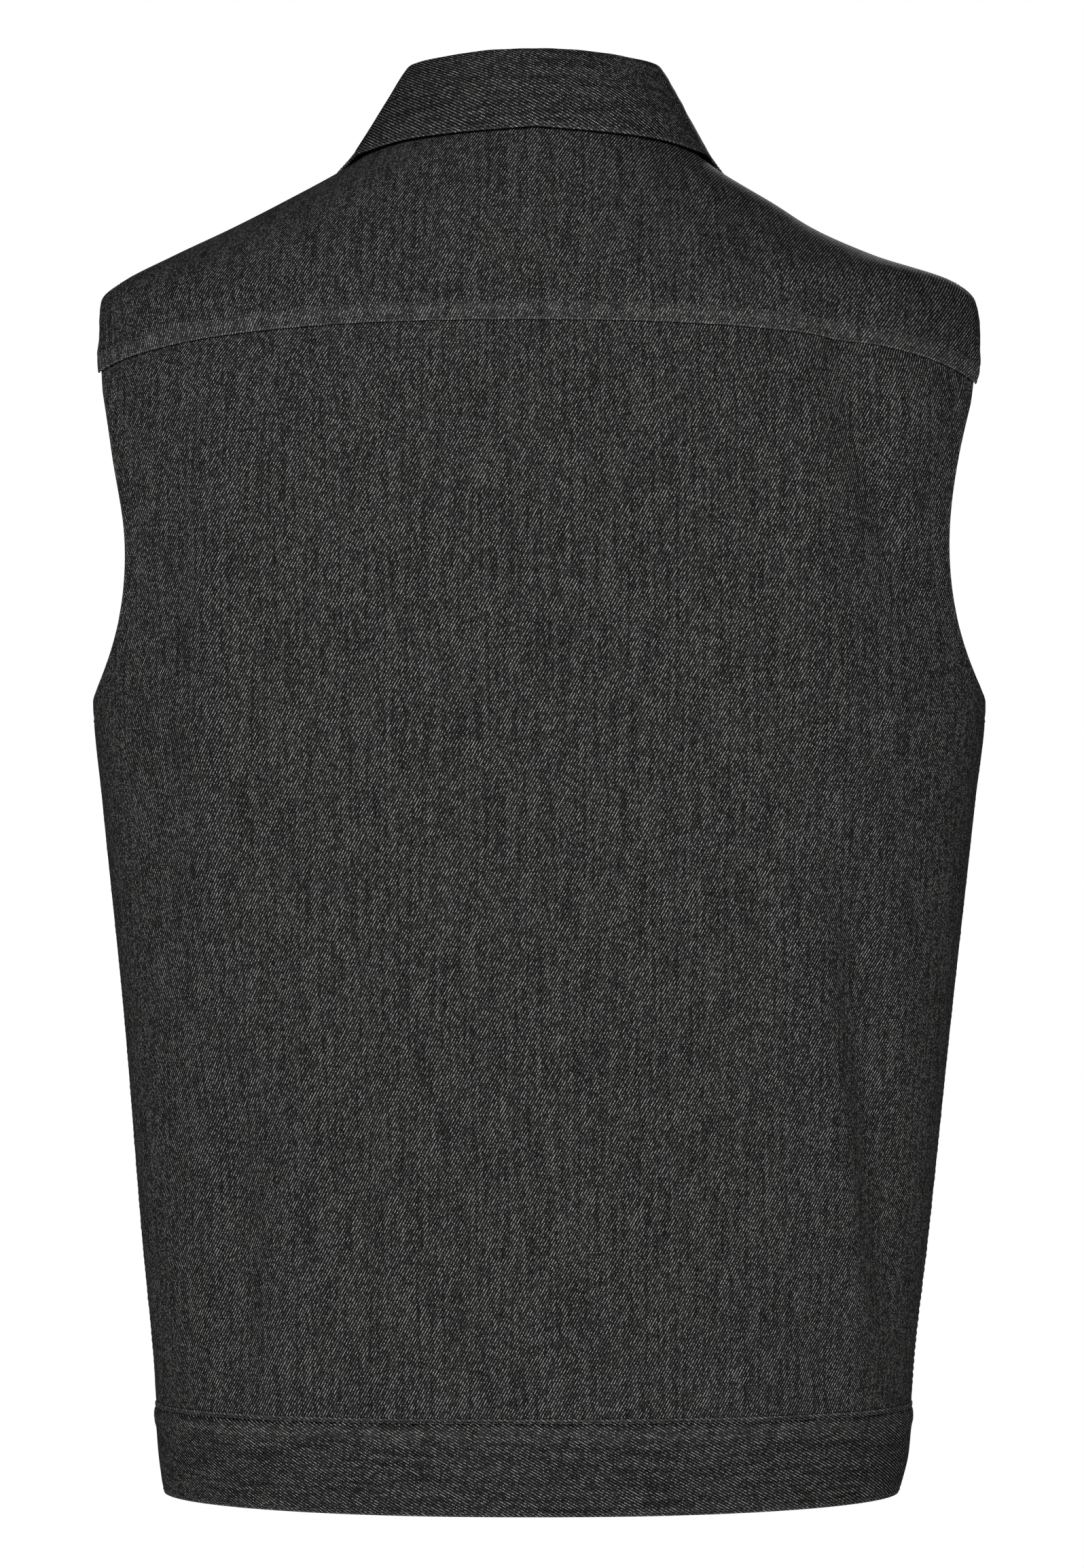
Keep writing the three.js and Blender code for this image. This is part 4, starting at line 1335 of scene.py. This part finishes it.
class Finish:
    """A material under construction."""

    def __init__(self, name):
        self.material = bpy.data.materials.new(name)
        self.material.use_nodes = True
        self.tree = self.material.node_tree
        self.tree.nodes.clear()

    def node(self, kind, settings=None, inputs=None):
        made = self.tree.nodes.new(kind)
        for key, value in (settings or {}).items():
            setattr(made, key, value)
        for key, value in (inputs or {}).items():
            if isinstance(value, Value):
                value = value.socket
            if isinstance(value, bpy.types.NodeSocket):
                self.tree.links.new(value, made.inputs[key])
            else:
                made.inputs[key].default_value = value
        return made

    def cloth_place(self):
        """The flat cut's coordinates in millimetres: across the grain and along it."""
        uv = self.node("ShaderNodeUVMap", {"uv_map": "cloth"})
        split = self.node("ShaderNodeSeparateXYZ", None, {0: uv.outputs[0]})
        return Value(self, split.outputs[0]), Value(self, split.outputs[1])

    def attribute(self, name):
        return Value(self, self.node("ShaderNodeAttribute", {"attribute_name": name}).outputs["Fac"])

    def flat_noise(self, kind, x, y, **inputs):
        place = self.node("ShaderNodeCombineXYZ", None, {0: x, 1: y}).outputs[0]
        made = self.node(kind, {"noise_dimensions": "2D"}, {"Vector": place, **inputs})
        return Value(self, made.outputs[0])

    def noise(self, x, y, detail):
        """Smooth random values of about 0.5, one wave for each unit of x and y."""
        return self.flat_noise("ShaderNodeTexNoise", x, y, Scale=1.0, Detail=detail)

    def chance(self, x, y):
        """One even random value between 0 and 1 for each whole x and y."""
        return self.flat_noise("ShaderNodeTexWhiteNoise", x, y)

    def grain(self, scale, detail):
        """Smooth random values through the object's own space."""
        place = self.node("ShaderNodeTexCoord").outputs["Object"]
        inputs = {"Vector": place, "Scale": scale, "Detail": detail}
        return Value(self, self.node("ShaderNodeTexNoise", None, inputs).outputs[0])

    def mix(self, share, low, high):
        """Colour between two others."""
        return self.node("ShaderNodeMix", {"data_type": "RGBA"}, {0: share, 6: low, 7: high}).outputs[2]

    def surface(self, inputs, height, depth):
        """Ends the material with its shader and a bump of the given depth in metres."""
        shader = self.node("ShaderNodeBsdfPrincipled", None, inputs)
        bump = self.node("ShaderNodeBump", None, {"Strength": 1.0, "Distance": depth, "Height": height})
        self.tree.links.new(bump.outputs[0], shader.inputs["Normal"])
        self.node("ShaderNodeOutputMaterial", None, {0: shader.outputs[0]})
        return self.material


def grey(level, warmth=0.0):
    """A near-neutral colour of a linear brightness."""
    return (level * (1 + warmth), level, level * (1 - warmth / 3), 1)


# %% [markdown]
# The cloth is a three-over-one right-hand twill: each dark warp thread passes over three pale
# weft threads and under one, and the next warp does so one weft higher. So the pale weft shows as
# fine dots that line up in steep diagonals. Counted in the photograph, the warps lie 0.353 mm
# apart and the wefts 0.644 mm. The cloth is uneven: slubby warps hide or bare the weft in long
# upright streaks, some dots are much brighter, and folded edges wear paler.

# %% Denim
WARP_PITCH = 0.353
WEFT_PITCH = 0.644
DOT_HALF = (0.28, 0.6)
WARMTH = 0.028
DOT_LENGTH = (0.12, 0.5)
DOT_WIDTH = (0.16, 0.52)
REPEAT = 4.0
MOST_OF_NOISE = (0.3, 0.7)
DRIFT_WAVES = (0.055, 0.04)
DRIFT_IN_THREADS = {"warp": 3.0, "weft": 2.0}
DOT_CONTRAST = {"power": 2.4, "gain": 1.6, "least": 0.13}
DASH_WAVES = (5.3, 0.22)
WARP_SHADE_AND_TONE = {"round": 0.2, "thread": 0.3, "cell": 1.8, "least": 0.05}
UNEVEN = {
    "slub": (0.5, 0.026, 2.0, 0.72, 1.3),
    "fleck": (0.9, 0.5, 1.0, 0.86, 1.14),
    "cloud": (0.05, 0.015, 2.0, 0.97, 1.03),
}


def unevenness(finish, u, v):
    """How bare the threads are. A row has its waves per millimetre, detail, least and most."""
    product = None
    for across, along, detail, least, most in UNEVEN.values():
        part = finish.noise(u * across, v * along, detail).ramp(*MOST_OF_NOISE, least, most)
        product = product * part if product else part
    return product


def twill(name, dark, pale, shown):
    """Face of the denim. dark and pale are the warp and weft, shown how much weft shows."""
    finish = Finish(name)
    u, v = finish.cloth_place()
    drift = finish.noise(u * DRIFT_WAVES[0], v * DRIFT_WAVES[1], 1.0) - 0.5
    warp_at = u * (1 / WARP_PITCH) + drift * DRIFT_IN_THREADS["warp"]
    weft_at = v * (1 / WEFT_PITCH) + drift * DRIFT_IN_THREADS["weft"]
    warp = warp_at.floor()
    climb = weft_at - warp
    step = climb.remainder(REPEAT)
    across_warp = warp_at.remainder(1.0) - 0.5
    dot = abs(step - 0.5).ramp(*DOT_LENGTH, 1.0, 0.0) * abs(across_warp).ramp(*DOT_WIDTH, 1.0, 0.0)
    beside = abs((weft_at - warp_at).remainder(REPEAT) - REPEAT / 2) * (2 / REPEAT)
    beat = finish.chance(warp, weft_at.floor())
    cell = finish.chance(warp, (weft_at + 0.5).floor() + 0.5)
    thread = finish.chance(warp, 3.0)
    dash = finish.noise((climb * (1 / REPEAT)).floor() * DASH_WAVES[0], warp_at * DASH_WAVES[1], 1.0)
    bared = unevenness(finish, u, v)
    # The value read here is mostly the worn paleness of edges and puckers, plus the waistband's painted
    # shade in its stitch groove.
    wear_and_shade = finish.attribute("wear_and_shade")
    dot_tone = beat ** DOT_CONTRAST["power"] * DOT_CONTRAST["gain"] + DOT_CONTRAST["least"]
    bright = dot_tone * dash.ramp(*MOST_OF_NOISE, 0.5, 1.5)
    share = (dot * bright * bared * shown * (1 + wear_and_shade * 0.6)).smaller(1.0)
    # The warp's colour holds painted shade: each warp is paler along its crown than at its sides, and
    # darker midway between the diagonal lines of weft dots than beside them. The rest of its tone is
    # random, by thread and by cell.
    round_warp = 1 - (across_warp * 2) ** 2.0
    thread_shade_and_tone = round_warp * WARP_SHADE_AND_TONE["round"] + thread * WARP_SHADE_AND_TONE["thread"]
    thread_shade_and_tone = thread_shade_and_tone + cell ** 1.5 * WARP_SHADE_AND_TONE["cell"] + WARP_SHADE_AND_TONE["least"]
    warp_tone_and_shade = beside.ramp(0.0, 0.95, 0.45, 1.0) * thread_shade_and_tone * bared + wear_and_shade * 1.5
    base = finish.mix(warp_tone_and_shade * 0.5, grey(0.0), grey(2 * dark, WARMTH))
    colour = finish.mix(share, base, grey(pale, WARMTH))
    height = (1 - dot) * (round_warp * 0.5 + (1 - beside) * 0.5) + dot * 0.25
    inputs = {"Base Color": colour, "Roughness": 0.9, "Specular IOR Level": 0.03}
    return finish.surface(inputs, height, 0.05 * MM)


def reverse_twill(name, dark, pale):
    """Back of the denim, where the pale weft covers three quarters."""
    finish = Finish(name)
    u, v = finish.cloth_place()
    warp_at, weft_at = u * (1 / WARP_PITCH), v * (1 / WEFT_PITCH)
    step = (weft_at - warp_at.floor()).remainder(REPEAT)
    dot = abs(step - 0.5).ramp(*DOT_HALF, 1.0, 0.0)
    tone = finish.noise(u * 0.05, v * 0.9, 2.0).ramp(*MOST_OF_NOISE, 0.7, 1.1)
    colour = finish.mix(dot * 0.75, finish.mix(tone, grey(0.0), grey(pale, 0.01)), grey(dark))
    round_weft = 1 - (weft_at.remainder(1.0) * 2 - 1) ** 2.0
    inputs = {"Base Color": colour, "Roughness": 0.9, "Specular IOR Level": 0.2}
    return finish.surface(inputs, round_weft * (1 - dot), 0.14 * MM)


def thread_finish():
    """Tonal sewing thread with a fine twist."""
    finish = Finish("sewing_thread")
    tone = finish.grain(4000.0, 1.0).ramp(*MOST_OF_NOISE, 0.7, 1.0)
    colour = finish.mix(tone, grey(0.02), grey(0.075))
    return finish.surface({"Base Color": colour, "Roughness": 0.6, "Sheen Weight": 0.1}, tone, 0.05 * MM)


def metal_finish():
    """Dull gunmetal, rubbed brighter and smoother in small random patches."""
    finish = Finish("gunmetal")
    rubbed = finish.grain(900.0, 4.0).ramp(0.35, 0.7)
    colour = finish.mix(rubbed, grey(0.09, 0.05), grey(0.2, 0.05))
    rough = rubbed.ramp(0, 1, 0.5, 0.34)
    return finish.surface({"Base Color": colour, "Metallic": 1.0, "Roughness": rough}, rubbed, 0.03 * MM)


# The cross-grain copy is the same cloth with a slightly darker warp and weft and fewer weft dots: painted
# shade that darkens the collar, which the lamp above lights most, and the waistband with it.
denim_cross_grain_shaded = twill("denim_cross_grain_shaded_face", 0.025, 0.76, 0.88)
FACE_AND_BACK = {
    "denim": (twill("denim_face", 0.027, 0.8, 1.0), reverse_twill("denim_reverse", 0.03, 0.16)),
    "denim_cross_grain": (denim_cross_grain_shaded, denim_cross_grain_shaded),
}
thread_material = thread_finish()
metal = metal_finish()

# %% [markdown]
# Each new piece takes the place of the solid that it stands for, which is hidden, gets its finish
# and is parented to the root. The table also lists how each piece is held and what it rides on.

# %% What stands for what
CLOTH_PIECES = {
    "back_panel": (back_panel, "denim", "draped", "back_yoke_cloth"),
    "back_yoke": (back_yoke, "denim", "draped", "back_panel_cloth"),
    "front_left": (fronts[LEFT], "denim", "draped", "back_yoke_cloth"),
    "front_right": (fronts[RIGHT], "denim", "draped", "back_yoke_cloth"),
    "button_stand_right": (button_stand, "denim", "draped", "front_right_cloth"),
    "placket_left": (placket, "denim", "draped", "front_left_cloth"),
    "waistband": (waistband, "denim_cross_grain", "draped", "back_panel_cloth"),
    "collar": (collar, "denim_cross_grain", "folded", "back_yoke_cloth"),
}

for node, (laid, slot, held, rests_on) in CLOTH_PIECES.items():
    piece = laid.piece
    for material in FACE_AND_BACK[slot]:
        piece.data.materials.append(material)
    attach(piece, "root")
    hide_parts(node)

for thread in threads:
    thread.data.materials.append(thread_material)
    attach(thread, "root")

for number, button in enumerate(buttons, 1):
    button.data.materials.append(metal)
    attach(button, "root")
    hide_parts(f"button_{number}")
